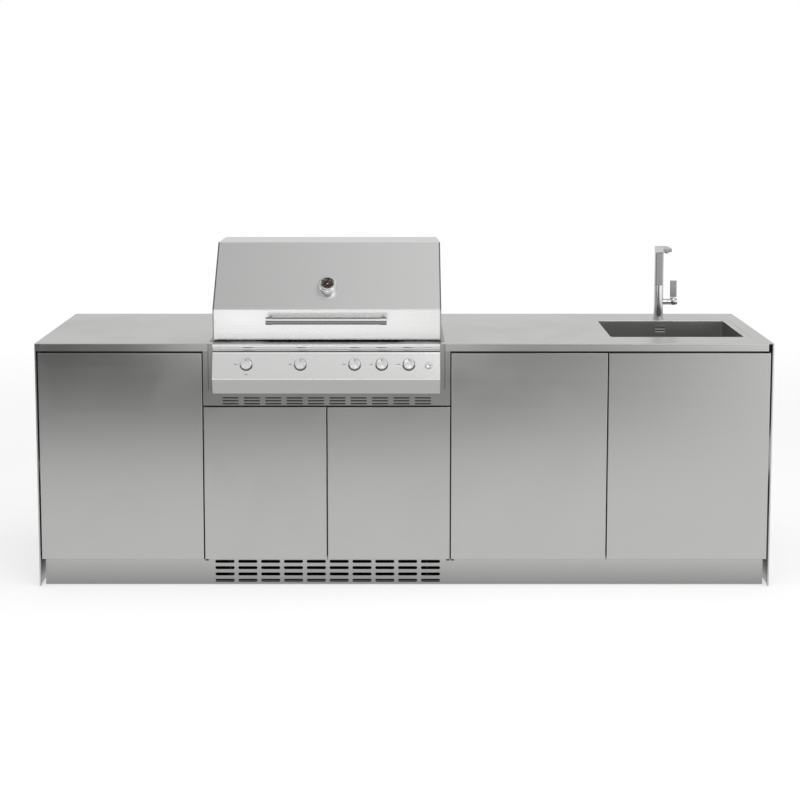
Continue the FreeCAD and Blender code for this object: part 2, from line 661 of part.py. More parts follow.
# Grill: panel, knobs and gas train. Pieces on the sloped panel are made upright and then laid on it.
def laid(shape, spot, slope):
    """Turn a piece made about +Z to face out of a panel that leans back by slope, and set it at spot."""
    turn = FreeCAD.Rotation(ALONG_X, 90 - math.degrees(slope))
    placed = shape.copy()
    placed.Placement = FreeCAD.Placement(spot, turn).multiply(placed.Placement)
    return placed


def on_panel(shape, x, drop):
    """Lay a piece on the sloped knob face, drop millimetres below the cove."""
    y = PANEL_COVE_Y - drop * math.sin(PANEL_SLOPE)
    z = TOP_Z - PANEL_COVE_DROP - drop * math.cos(PANEL_SLOPE)
    return laid(shape, V(x, y, z), PANEL_SLOPE)


def on_hood(shape, x, up):
    """Lay a piece on the hood's slanted face, up millimetres above the lower fold."""
    y = HOOD_FRONT_Y + up * math.sin(HOOD_SLOPE)
    z = TOP_Z + HOOD_BAND_TOP + up * math.cos(HOOD_SLOPE)
    return laid(shape, V(x, y, z), HOOD_SLOPE)


def panel_section(inset):
    """Closed section of the panel box; inset draws it in by the sheet on every side."""
    nose = TOP_Z - PANEL_NOSE_DROP
    cove = TOP_Z - PANEL_COVE_DROP
    cove_middle = V(0, max(PANEL_NOSE_Y, PANEL_COVE_Y) + PANEL_COVE_DEPTH, (nose + cove) / 2)
    top = TOP_Z + PANEL_TOP
    bend = PANEL_NOSE_RADIUS * (1 - math.sqrt(0.5))
    points = {"back_top": V(0, PANEL_BACK_Y, top),
              "nose_top": V(0, PANEL_NOSE_Y + PANEL_NOSE_RADIUS, top),
              "nose_arc": V(0, PANEL_NOSE_Y + bend, top - bend),
              "nose_front": V(0, PANEL_NOSE_Y, top - PANEL_NOSE_RADIUS),
              "nose_under": V(0, PANEL_NOSE_Y, nose),
              "cove": V(0, PANEL_COVE_Y, cove),
              "fold": V(0, PANEL_FOLD_Y, TOP_Z - PANEL_FOLD_DROP),
              "base": V(0, PANEL_BASE_Y, TOP_Z - PANEL_BASE_DROP),
              "back_base": V(0, PANEL_BACK_Y, TOP_Z - PANEL_BASE_DROP)}
    lines = [("back_top", "nose_top"), ("nose_front", "nose_under"), ("cove", "fold"), ("fold", "base"),
             ("base", "back_base"), ("back_base", "back_top")]
    edges = [Part.LineSegment(points[a], points[b]).toShape() for a, b in lines]
    edges.append(Part.Arc(points["nose_top"], points["nose_arc"], points["nose_front"]).toShape())
    edges.append(Part.Arc(points["nose_under"], cove_middle, points["cove"]).toShape())
    wire = Part.Wire(Part.__sortEdges__(edges))
    return Part.Face(wire.makeOffset2D(-inset)) if inset else Part.Face(wire)


def build_control_panel():
    """Folded box front: bullnose, cove, sloped knob face and lower band, open at the back."""
    outside = swept(panel_section(0).translated(V(PANEL_X0, 0, 0)), ALONG_X * PANEL_WIDTH)
    inside = swept(panel_section(SHEET).translated(V(PANEL_X0 + SHEET, 0, 0)),
                   ALONG_X * (PANEL_WIDTH - 2 * SHEET))
    open_back = box(PANEL_X0, PANEL_X1, 0, PANEL_BACK_Y, TOP_Z - PANEL_BASE_DROP, TOP_Z + PANEL_TOP - SHEET)
    holes = [on_panel(rod(V(0, 0, -STEM_DEPTH), ALONG_Z, KNOB_HOLE, 2 * STEM_DEPTH), x, KNOB_DROP)
             for x in KNOB_X]
    holes.append(on_panel(rod(V(0, 0, -IGNITER_DEPTH), ALONG_Z, IGNITER_RADIUS + SEAT_CLEARANCE,
                              2 * IGNITER_DEPTH), IGNITER_X, IGNITER_DROP))
    keep("control_panel", outside.cut([inside, open_back] + holes))


def knob_profile():
    skirt = BEZEL_THICK + KNOB_LIFT
    return [(0, -STEM_DEPTH), (STEM_RADIUS, -STEM_DEPTH), (STEM_RADIUS, skirt), (KNOB_RADIUS, skirt),
            (KNOB_RADIUS, skirt + BEZEL_THICK), (KNOB_FACE_RADIUS + KNOB_EDGE, KNOB_HEIGHT - KNOB_EDGE),
            (KNOB_FACE_RADIUS, KNOB_HEIGHT), (0, KNOB_HEIGHT)]


def build_controls():
    mark = box(-KNOB_MARK[0] / 2, KNOB_MARK[0] / 2, KNOB_FACE_RADIUS - KNOB_MARK[1] - KNOB_MARK[0],
               KNOB_FACE_RADIUS - KNOB_MARK[0], KNOB_HEIGHT - KNOB_MARK[2], KNOB_HEIGHT)
    knob = turned(knob_profile()).cut(mark)
    for number, x in enumerate(KNOB_X, 1):
        keep(f"control_knob_{number}", on_panel(knob, x, KNOB_DROP))

    ring = turned([(KNOB_HOLE, 0), (BEZEL_RADIUS, 0), (BEZEL_RADIUS - BEZEL_THICK / 2, BEZEL_THICK),
                   (KNOB_HOLE, BEZEL_THICK)])
    collar = turned([(IGNITER_RADIUS + SEAT_CLEARANCE, 0), (IGNITER_RING, 0),
                     (IGNITER_RING - BEZEL_THICK, 2 * BEZEL_THICK),
                     (IGNITER_RADIUS + SEAT_CLEARANCE, 2 * BEZEL_THICK)])
    keep("panel_bezels", *[on_panel(ring, x, KNOB_DROP) for x in KNOB_X],
         on_panel(collar, IGNITER_X, IGNITER_DROP))

    button = turned([(0, -IGNITER_DEPTH / 2), (IGNITER_RADIUS, -IGNITER_DEPTH / 2),
                     (IGNITER_RADIUS, IGNITER_HEIGHT - KNOB_EDGE),
                     (IGNITER_RADIUS - KNOB_EDGE, IGNITER_HEIGHT), (0, IGNITER_HEIGHT)])
    keep("igniter_button", on_panel(button, IGNITER_X, IGNITER_DROP))
    sleeve_top = -SHEET
    sleeve_end = -IGNITER_DEPTH / 2 - IGNITER_TRAVEL - SHEET
    housing = turned([(0, sleeve_end - SHEET), (IGNITER_RING, sleeve_end - SHEET), (IGNITER_RING, sleeve_top),
                      (IGNITER_RADIUS + IGNITER_CLEARANCE, sleeve_top),
                      (IGNITER_RADIUS + IGNITER_CLEARANCE, sleeve_end), (0, sleeve_end)])
    keep("igniter_housing", on_panel(housing, IGNITER_X, IGNITER_DROP))


def build_gas_train():
    """Square manifold parallel to the panel, a valve in front of it behind each knob."""
    bore = STEM_RADIUS + STEM_CLEARANCE
    neck = turned([(bore, -VALVE_NECK), (VALVE_RADIUS, -VALVE_NECK), (VALVE_RADIUS, -SHEET), (bore, -SHEET)])
    half = VALVE_BLOCK / 2
    block = box(-half, half, -half, half, -VALVE_LENGTH, -VALVE_NECK)
    valve = fused(neck, block)
    keep("gas_valves", *[on_panel(valve, x, KNOB_DROP) for x in KNOB_X])

    half = MANIFOLD_SIZE / 2
    x0 = KNOB_X[0] - MANIFOLD_END
    x1 = IGNITER_X
    tube = box(x0, x1, -half, half, -VALVE_LENGTH - MANIFOLD_SIZE, -VALVE_LENGTH)
    hollow = box(x0 + MANIFOLD_WALL, x1 - MANIFOLD_WALL, MANIFOLD_WALL - half, half - MANIFOLD_WALL,
                 MANIFOLD_WALL - VALVE_LENGTH - MANIFOLD_SIZE, -VALVE_LENGTH - MANIFOLD_WALL)
    inlet = rod(V(x1 - MANIFOLD_SIZE, -half, -VALVE_LENGTH - half), -ALONG_Y, GAS_INLET_RADIUS,
                GAS_INLET_LENGTH)
    keep("gas_manifold", on_panel(fused(tube, inlet).cut(hollow), 0, KNOB_DROP))


def firebox_ledge(drop):
    """Support strips for grates or flame tamers along the front and rear walls."""
    z = TOP_Z - drop
    x0 = FIREBOX_X0 + SHEET
    x1 = FIREBOX_X1 - SHEET
    return [box(x0, x1, FIREBOX_FRONT + SHEET, FIREBOX_FRONT + SHEET + LEDGE, z - SHEET, z),
            box(x0, x1, FIREBOX_BACK - SHEET - LEDGE, FIREBOX_BACK - SHEET, z - SHEET, z)]


def tray_runners():
    """L-shaped runners under the firebox that the drip tray hangs in."""
    outer = GREASE_HOLE[0] / 2 + TRAY_MARGIN
    top = FIREBOX_BOTTOM
    foot = top - TRAY_DEPTH - SHEET - SEAT_CLEARANCE
    y0 = FIREBOX_FRONT + LEDGE
    y1 = FIREBOX_BACK - LEDGE
    runners = []
    for side in (-1, 1):
        tray_side = outer + SEAT_CLEARANCE
        wall = sorted((GRILL_X + side * tray_side, GRILL_X + side * (tray_side + SHEET)))
        lip = sorted((GRILL_X + side * (outer - RUNNER), GRILL_X + side * (tray_side + SHEET)))
        runners.append(box(*wall, y0, y1, foot, top))
        runners.append(box(*lip, y0, y1, foot, foot + SHEET))
    return runners


def build_firebox():
    """Open box with a top flange that hangs in the worktop notch."""
    body = box(FIREBOX_X0, FIREBOX_X1, FIREBOX_FRONT, FIREBOX_BACK, FIREBOX_BOTTOM, TOP_Z + SHEET)
    flange = box(FLANGE_X0, FLANGE_X1, PANEL_BACK_Y, FLANGE_BACK, TOP_Z, TOP_Z + SHEET)
    hollow = box(FIREBOX_X0 + SHEET, FIREBOX_X1 - SHEET, FIREBOX_FRONT + SHEET, FIREBOX_BACK - SHEET,
                 FIREBOX_BOTTOM + SHEET, TOP_Z + SHEET)
    middle = (FIREBOX_FRONT + FIREBOX_BACK) / 2
    grease = box(GRILL_X - GREASE_HOLE[0] / 2, GRILL_X + GREASE_HOLE[0] / 2, middle - GREASE_HOLE[1] / 2,
                 middle + GREASE_HOLE[1] / 2, FIREBOX_BOTTOM, FIREBOX_BOTTOM + SHEET)
    z = TOP_Z - BURNER_DROP
    front_holes = [rod(V(x, FIREBOX_FRONT, z), ALONG_Y, BURNER_NECK + SEAT_CLEARANCE, SHEET)
                   for x in BURNER_X]
    rear_holes = [rod(V(x, FIREBOX_BACK - SHEET, z), ALONG_Y, BURNER_SPIGOT + SEAT_CLEARANCE, SHEET)
                  for x in BURNER_X]
    shape = fused(body, flange).cut([hollow, grease] + front_holes + rear_holes)
    ledges = firebox_ledge(GRATE_LEDGE_DROP) + firebox_ledge(TAMER_LEDGE_DROP)
    keep("firebox", fused(shape, *ledges, *tray_runners()))


def build_burners():
    z = TOP_Z - BURNER_DROP
    shoulder = FIREBOX_FRONT + SHEET + BURNER_END_GAP
    tail = FIREBOX_BACK - SHEET - BURNER_END_GAP
    burner = turned([(0, BURNER_NECK_FRONT), (BURNER_NECK, BURNER_NECK_FRONT), (BURNER_NECK, shoulder),
                     (BURNER_RADIUS, shoulder + BURNER_END_GAP), (BURNER_RADIUS, tail), (BURNER_SPIGOT, tail),
                     (BURNER_SPIGOT, FIREBOX_BACK), (0, FIREBOX_BACK)])
    throat = rod(V(0, 0, BURNER_NECK_FRONT), ALONG_Z, BURNER_NECK - 2 * SHEET, shoulder - BURNER_NECK_FRONT)
    burner = burner.cut(throat)
    burner.rotate(V(), ALONG_X, -90)
    keep("main_burners", *[burner.translated(V(x, 0, z)) for x in BURNER_X])

    half = TAMER_WIDTH / 2
    base = TOP_Z - TAMER_LEDGE_DROP
    rise = SHEET * math.hypot(TAMER_HEIGHT, half) / half
    tent = [(-half, base), (0, base + TAMER_HEIGHT), (half, base), (half - SHEET, base),
            (0, base + TAMER_HEIGHT - rise), (SHEET - half, base)]
    y0 = FIREBOX_FRONT + SHEET + TAMER_END_GAP
    y1 = FIREBOX_BACK - SHEET - TAMER_END_GAP
    keep("flame_tamers", *[prism_y([(x + u, v) for u, v in tent], y0, y1) for x in BURNER_X])

    width, thick, height = REAR_BURNER
    x0 = GRILL_X - width / 2
    z0 = TOP_Z + SHEET
    case = box(x0, x0 + width, FIREBOX_BACK, FIREBOX_BACK + thick, z0, z0 + height)
    tile = box(x0 + REAR_BURNER_FRAME, x0 + width - REAR_BURNER_FRAME, FIREBOX_BACK,
               FIREBOX_BACK + REAR_BURNER_RECESS, z0 + REAR_BURNER_FRAME, z0 + height - REAR_BURNER_FRAME)
    keep("rear_burner", case.cut(tile))


def build_grates():
    """Rod grates side by side on the firebox ledges, and a warming rack behind them."""
    inside = FIREBOX_X1 - FIREBOX_X0 - 2 * SHEET
    width = (inside - (GRATE_COUNT + 1) * GRATE_GAP) / GRATE_COUNT
    y0 = FIREBOX_FRONT + SHEET + GRATE_GAP
    y1 = FIREBOX_BACK - SHEET - GRATE_GAP
    z = TOP_Z - GRATE_LEDGE_DROP + GRATE_ROD
    bars = [rod(V(0, y, z), ALONG_X, GRATE_ROD, width) for y in (y0 + GRATE_ROD, y1 - GRATE_ROD)]
    step = (width - 2 * GRATE_ROD) / (GRATE_RODS - 1)
    bars += [rod(V(GRATE_ROD + i * step, y0, z + GRATE_ROD), ALONG_Y, GRATE_ROD, y1 - y0)
             for i in range(GRATE_RODS)]
    grate = fused(*bars)
    x0 = FIREBOX_X0 + SHEET + GRATE_GAP
    keep("cooking_grates", *[grate.translated(V(x0 + i * (width + GRATE_GAP), 0, 0))
                             for i in range(GRATE_COUNT)])

    z = TOP_Z + RACK_HEIGHT
    ends = (FIREBOX_X0 - RACK_OUT, FIREBOX_X1 + RACK_OUT)
    step = (RACK_BACK - RACK_FRONT) / (RACK_RODS - 1)
    rods = [rod(V(ends[0], RACK_FRONT + i * step, z), ALONG_X, RACK_WIRE, ends[1] - ends[0])
            for i in range(RACK_RODS)]
    for x in ends:
        rods.append(rod(V(x, RACK_FRONT - RACK_ROD, z), ALONG_Y, RACK_ROD,
                        RACK_BACK - RACK_FRONT + 2 * RACK_ROD))
        rods += [rod(V(x, y, TOP_Z + SHEET), ALONG_Z, RACK_WIRE, RACK_HEIGHT - SHEET)
                 for y in (RACK_FRONT + step / 2, RACK_BACK - step / 2)]
    keep("warming_rack", fused(*rods))


def build_drip_tray():
    """Shallow tray on the runners, with a finger lip at the front."""
    half = GREASE_HOLE[0] / 2 + TRAY_MARGIN
    y0 = FIREBOX_FRONT + LEDGE
    y1 = FIREBOX_BACK - LEDGE
    z1 = FIREBOX_BOTTOM - SEAT_CLEARANCE
    z0 = z1 - TRAY_DEPTH
    tray = box(GRILL_X - half, GRILL_X + half, y0, y1, z0, z1)
    hollow = box(GRILL_X - half + SHEET, GRILL_X + half - SHEET, y0 + SHEET, y1 - SHEET, z0 + SHEET, z1)
    grip = box(GRILL_X - half / 2, GRILL_X + half / 2, y0 - TRAY_GRIP, y0, z0, z0 + SHEET)
    keep("drip_tray", fused(tray.cut(hollow), grip))


# Hood: folded shell, end caps with hinge lobes, handle and thermometer
def folded(points, thick):
    """Section of a folded sheet: an open run of (u, v, bend radius) points, thickened to its right."""
    spots = [V(point[0], point[1], 0) for point in points]
    normals = []
    for a, b in zip(spots, spots[1:]):
        along = (b - a).normalize()
        normals.append(V(along.y, -along.x, 0))
    inner = []
    for i, (spot, point) in enumerate(zip(spots, points)):
        before = normals[max(i - 1, 0)]
        after = normals[min(i, len(normals) - 1)]
        place = spot + (before + after) * (thick / (1 + before.dot(after)))
        inner.append((place.x, place.y, max(point[2] - thick, 0)))
    return list(points) + inner[::-1]


def hood_points():
    """Outer bends of the hood from its front lower edge over the top to the rear lower edge."""
    return [(HOOD_FRONT_Y, TOP_Z + HOOD_GAP, 0), (HOOD_FRONT_Y, TOP_Z + HOOD_BAND_TOP, HOOD_BEND),
            (HOOD_SHOULDER_Y, TOP_Z + HOOD_SHOULDER, HOOD_BEND),
            (HOOD_CREST_Y, TOP_Z + HOOD_CREST, HOOD_BEND),
            (HOOD_BACK_Y, TOP_Z + HOOD_BACK_TOP, HOOD_BEND), (HOOD_BACK_Y, TOP_Z + HOOD_BACK_BOTTOM, 0)]


def cut_corner(x_end, outward):
    """What a slanted corner takes off one end of the hood's top, and the layer of sheet that closes it."""
    start = V(x_end, HOOD_SHOULDER_Y, TOP_Z + HOOD_SHOULDER)
    side = V(x_end, HOOD_CREST_Y, TOP_Z + HOOD_CREST - HOOD_CORNER)
    top = V(x_end - outward * HOOD_CORNER, HOOD_CREST_Y, TOP_Z + HOOD_CREST)
    normal = (side - start).cross(top - start).normalize() * outward
    reach = HOOD_BACK_Y
    face = Part.Plane(start, normal).toShape(-reach, reach, -reach, reach)
    return face.extrude(normal * reach), face.extrude(normal * -HOOD_SHEET)


def hood_cap(x_end, outward):
    """One end of the hood: a plate with its hinge lobe, a turned rim and a slanted top corner."""
    section = hood_points()[:-1]
    section += [(HINGE_Y + HINGE_LOBE, HINGE_Z + HINGE_LOBE, HINGE_LOBE / 2),
                (HINGE_Y + HINGE_LOBE, HINGE_Z - HINGE_LOBE, HINGE_LOBE / 2),
                (HINGE_Y - HINGE_LOBE, TOP_Z + HOOD_GAP)]
    inside = x_end - outward * HOOD_CAP
    seam = x_end - outward * HOOD_TURN
    plate = prism_x(section, min(x_end, inside), max(x_end, inside))
    rim = prism_x(folded(hood_points(), HOOD_SHEET), min(inside, seam), max(inside, seam))
    whole = prism_x(hood_points(), min(x_end, seam), max(x_end, seam))
    taken, layer = cut_corner(x_end, outward)
    return fused(fused(plate, rim).cut(taken), whole.common(layer))


def build_hood():
    x0 = HOOD_X0 + HOOD_CAP
    x1 = HOOD_X1 - HOOD_CAP
    shell = prism_x(folded(hood_points(), HOOD_SHEET), HOOD_X0 + HOOD_TURN, HOOD_X1 - HOOD_TURN)
    probe = on_hood(rod(V(0, 0, -THERMO_STEM_LENGTH), ALONG_Z, THERMO_STEM_RADIUS + SEAT_CLEARANCE,
                        THERMO_STEM_LENGTH + THERMO_HEIGHT), GRILL_X, THERMO_UP)
    keep("hood_shell", shell.cut(probe))
    keep("hood_end_caps", hood_cap(HOOD_X0, -1), hood_cap(HOOD_X1, 1))

    reach = HINGE_EAR_GAP + HINGE_EAR
    keep("hood_hinge_pins", rod(V(x0, HINGE_Y, HINGE_Z), ALONG_X, HINGE_PIN_RADIUS, reach),
         rod(V(x1 - reach, HINGE_Y, HINGE_Z), ALONG_X, HINGE_PIN_RADIUS, reach))

    ears = []
    for x in (x0 + HINGE_EAR_GAP, x1 - HINGE_EAR_GAP - HINGE_EAR):
        base = TOP_Z + SHEET
        plate = [(HINGE_Y - HINGE_FOOT / 2, base), (HINGE_Y + HINGE_EAR_RADIUS, base),
                 (HINGE_Y + HINGE_EAR_RADIUS, HINGE_Z + HINGE_EAR_RADIUS, HINGE_EAR_RADIUS - SHEET),
                 (HINGE_Y - HINGE_EAR_RADIUS, HINGE_Z + HINGE_EAR_RADIUS, HINGE_EAR_RADIUS - SHEET)]
        bore = rod(V(x, HINGE_Y, HINGE_Z), ALONG_X, HINGE_PIN_RADIUS + HINGE_CLEARANCE, HINGE_EAR)
        ears.append(prism_x(plate, x, x + HINGE_EAR).cut(bore))
    keep("hood_hinge_brackets", *ears)


def build_handle():
    z = TOP_Z + HANDLE_HEIGHT
    half = HANDLE_LENGTH / 2
    grip = half - COLLAR_LENGTH
    keep("hood_handle_bar", rod(V(GRILL_X - grip, HANDLE_Y, z), ALONG_X, HANDLE_RADIUS, 2 * grip))
    posts = []
    for x in (GRILL_X - half, GRILL_X + grip):
        collar = rod(V(x, HANDLE_Y, z), ALONG_X, COLLAR_RADIUS, COLLAR_LENGTH)
        arm = rod(V(x + COLLAR_LENGTH / 2, HANDLE_Y, z), ALONG_Y, POST_RADIUS, HOOD_FRONT_Y - HANDLE_Y)
        posts.append(fused(collar, arm))
    keep("hood_handle_posts", *posts)


def build_thermometer():
    dial = THERMO_HEIGHT - THERMO_DIAL_DEPTH
    quarter = [i * math.pi / 2 / THERMO_DOME_STEPS for i in range(THERMO_DOME_STEPS + 1)]
    dome = [(THERMO_RIM_RADIUS + (THERMO_BASE_RADIUS - THERMO_RIM_RADIUS) * math.cos(a),
             THERMO_FOOT + (THERMO_HEIGHT - THERMO_FOOT) * math.sin(a)) for a in quarter]
    case = turned([(0, -THERMO_STEM_LENGTH), (THERMO_STEM_RADIUS, -THERMO_STEM_LENGTH),
                   (THERMO_STEM_RADIUS, 0), (THERMO_BASE_RADIUS, 0)] + dome
                  + [(THERMO_DIAL_RADIUS, THERMO_HEIGHT), (THERMO_DIAL_RADIUS, dial), (0, dial)])
    arbor_top = THERMO_HEIGHT - THERMO_GLASS - NEEDLE_LIFT
    arbor = rod(V(0, 0, dial), ALONG_Z, ARBOR_RADIUS, arbor_top - dial)
    keep("thermometer_case", on_hood(fused(case, arbor), GRILL_X, THERMO_UP))

    glass = rod(V(0, 0, THERMO_HEIGHT - THERMO_GLASS), ALONG_Z, THERMO_DIAL_RADIUS - THERMO_GLASS_GAP,
                THERMO_GLASS)
    keep("thermometer_glass", on_hood(glass, GRILL_X, THERMO_UP))

    z = dial + NEEDLE_LIFT
    hub = rod(V(0, 0, z), ALONG_Z, NEEDLE_HUB, 2 * NEEDLE_THICK)
    blade = prism_z([(-NEEDLE_WIDTH, -NEEDLE_TAIL), (NEEDLE_WIDTH, -NEEDLE_TAIL),
                     (NEEDLE_WIDTH / 4, NEEDLE_LENGTH), (-NEEDLE_WIDTH / 4, NEEDLE_LENGTH)],
                    z, z + NEEDLE_THICK)
    bore = rod(V(0, 0, z), ALONG_Z, ARBOR_RADIUS + ARBOR_CLEARANCE, 2 * NEEDLE_THICK)
    needle = fused(hub, blade).cut(bore)
    needle.rotate(V(), ALONG_Z, NEEDLE_REST)
    keep("thermometer_needle", on_hood(needle, GRILL_X, THERMO_UP))


# Sink, waste and mixer tap
def rounded_base(solid, z, radius):
    """Round the bottom edges of a solid that lie at height z."""
    edges = [edge for edge in solid.Edges if abs(edge.BoundBox.ZMax - z) < SINK_GAP]
    return solid.makeFillet(radius, edges)


def build_sink():
    floor = TOP_Z - BOWL_DEPTH
    outer = prism_z(sink_plan(BOWL_SHEET, BOWL_RADIUS + BOWL_SHEET), floor - BOWL_SHEET, UNDER_TOP)
    inner = prism_z(sink_plan(0, BOWL_RADIUS), floor, TOP_Z)
    outer = rounded_base(outer, floor - BOWL_SHEET, BOWL_FILLET + BOWL_SHEET)
    inner = rounded_base(inner, floor, BOWL_FILLET)
    flange = prism_z(sink_plan(SINK_FLANGE, BOWL_RADIUS), UNDER_TOP, TOP_Z)
    middle = V(SINK_X, BOWL_FRONT + BOWL_LENGTH / 2, floor)
    rear = BOWL_FRONT + BOWL_LENGTH
    overflow_z = TOP_Z - OVERFLOW_DROP
    drain = rod(middle - ALONG_Z * BOWL_SHEET, ALONG_Z, DRAIN_HOLE, BOWL_SHEET)
    hole = rod(V(SINK_X, rear, overflow_z), ALONG_Y, OVERFLOW_SIZE[1] / 4, BOWL_SHEET)
    keep("sink_bowl", fused(outer, flange).cut([inner, drain, hole]))

    half_w = OVERFLOW_SIZE[0] / 2
    half_h = OVERFLOW_SIZE[1] / 2
    plate = prism_y(rectangle(SINK_X - half_w, SINK_X + half_w, overflow_z - half_h, overflow_z + half_h,
                              OVERFLOW_THICK), rear - OVERFLOW_THICK, rear)
    slots = slot_field(OVERFLOW_SLOT, (0, OVERFLOW_SLOT_PITCH), (1, 2), SINK_X, overflow_z,
                       rear - OVERFLOW_THICK, rear)
    keep("overflow_cover", plate.cut(slots))

    neck = DRAIN_HOLE - SEAT_CLEARANCE
    bore = neck - STRAINER_WALL
    cup = turned([(bore, -STRAINER_LENGTH), (neck, -STRAINER_LENGTH), (neck, 0), (STRAINER_FLANGE, 0),
                  (STRAINER_FLANGE - STRAINER_FLANGE_THICK, STRAINER_FLANGE_THICK),
                  (neck, STRAINER_FLANGE_THICK), (bore, -STRAINER_FLANGE_THICK)])
    plate = rod(V(0, 0, -STRAINER_PLATE_DROP), ALONG_Z, bore, STRAINER_WALL)
    holes = [rod(V(0, 0, -STRAINER_PLATE_DROP), ALONG_Z, STRAINER_HOLE, STRAINER_WALL)]
    for i in range(STRAINER_HOLES):
        angle = 2 * math.pi * i / STRAINER_HOLES
        spot = V(math.cos(angle), math.sin(angle), 0) * STRAINER_HOLE_CIRCLE
        holes.append(rod(spot - ALONG_Z * STRAINER_PLATE_DROP, ALONG_Z, STRAINER_HOLE, STRAINER_WALL))
    keep("drain_strainer", fused(cup, plate.cut(holes)).translated(middle))

    top = middle - ALONG_Z * STRAINER_LENGTH
    bottle = rod(top - ALONG_Z * TRAP_LENGTH, ALONG_Z, TRAP_RADIUS, TRAP_LENGTH)
    start = top - ALONG_Z * TRAP_OUTLET_DROP
    length = TRAP_OUTLET_END - middle.y
    outlet = rod(start, ALONG_Y, TRAP_OUTLET_RADIUS, length)
    collar = rod(start + ALONG_Y * (length - TRAP_STUB - TRAP_COLLAR), ALONG_Y, TRAP_COLLAR_RADIUS,
                 TRAP_COLLAR)
    mouth = rod(start + ALONG_Y * (length - TRAP_OUTLET_BORE), ALONG_Y, TRAP_OUTLET_RADIUS - TRAP_WALL,
                TRAP_OUTLET_BORE)
    keep("drain_trap", fused(bottle, outlet, collar).cut(mouth))


def build_tap_body():
    stand = V(TAP_X, TAP_Y, TOP_Z)
    body = turned([(0, -TAP_SHANK), (TAP_SHANK_RADIUS, -TAP_SHANK), (TAP_SHANK_RADIUS, 0),
                   (TAP_FLANGE_RADIUS, 0), (TAP_FLANGE_RADIUS, TAP_FLANGE), (TAP_RADIUS, TAP_FLANGE),
                   (TAP_RADIUS, TAP_BODY), (0, TAP_BODY)])
    hub = rod(V(0, 0, LEVER_HEIGHT), ALONG_X, LEVER_HUB_RADIUS, LEVER_HUB_END)
    socket = rod(V(0, 0, TAP_BODY - SPIGOT_DEPTH - SEAT_CLEARANCE), ALONG_Z, SPIGOT_RADIUS + SPIGOT_CLEARANCE,
                 SPIGOT_DEPTH + SEAT_CLEARANCE)
    journal_end = LEVER_HUB_END + LEVER_STEM_GAP - LEVER_JOURNAL - SEAT_CLEARANCE
    journal = rod(V(journal_end, 0, LEVER_HEIGHT), ALONG_X, LEVER_JOURNAL_RADIUS + LEVER_CLEARANCE,
                  LEVER_HUB_END - journal_end)
    inlets = [rod(V(x, 0, -TAP_SHANK), ALONG_Z, TAP_INLET_RADIUS, TAP_INLET_DEPTH)
              for x in (-TAP_INLET_PITCH / 2, TAP_INLET_PITCH / 2)]
    keep("tap_body", fused(body, hub).cut([socket, journal] + inlets).translated(stand))

    corners = [(TAP_NUT_RADIUS * math.cos(i * math.pi / 3), TAP_NUT_RADIUS * math.sin(i * math.pi / 3))
               for i in range(6)]
    nut = prism_z(corners, -TAP_NUT, 0)
    thread = rod(V(0, 0, -TAP_NUT), ALONG_Z, TAP_SHANK_RADIUS + TAP_NUT_CLEARANCE, TAP_NUT)
    keep("tap_fixing_nut", nut.cut(thread).translated(V(TAP_X, TAP_Y, UNDER_TOP)))


def build_tap_spout():
    """Swivelling riser of rounded rectangular tube with a flat spout that rises to its tip."""
    half_w = RISER_SIZE[0] / 2
    half_d = RISER_SIZE[1] / 2
    foot = TAP_BODY + RISER_GAP
    spigot = rod(V(0, 0, TAP_BODY - SPIGOT_DEPTH), ALONG_Z, SPIGOT_RADIUS, SPIGOT_DEPTH + RISER_GAP)
    riser = prism_z(rectangle(-half_w, half_w, -half_d, half_d, RISER_RADIUS), foot, RISER_TOP)
    ring_w = half_w - RING_INSET
    ring_d = half_d - RING_INSET
    ring = prism_z(rectangle(-ring_w, ring_w, -ring_d, ring_d, RISER_RADIUS - RING_INSET), RISER_TOP,
                   RISER_TOP + RING_HEIGHT)
    base = RISER_TOP + RING_HEIGHT
    tip_top = RISER_TOP + SPOUT_TIP_TOP
    section = [(half_d, base), (half_d, RISER_TOP + SPOUT_BACK, RISER_RADIUS),
               (-SPOUT_REACH / 2, tip_top, SPOUT_ARCH), (-SPOUT_REACH, tip_top, SPOUT_EDGE),
               (-SPOUT_REACH, tip_top - SPOUT_TIP, SPOUT_EDGE), (-half_d, base)]
    arm = prism_x(section, -half_w, half_w)
    nozzle_y = -SPOUT_REACH + NOZZLE_RADIUS * 2
    nozzle = rod(V(0, nozzle_y, tip_top - SPOUT_TIP - 2 * NOZZLE_LENGTH), ALONG_Z, NOZZLE_RADIUS, SPOUT_TIP)
    keep("tap_spout", fused(spigot, riser, ring, arm, nozzle).translated(V(TAP_X, TAP_Y, TOP_Z)))


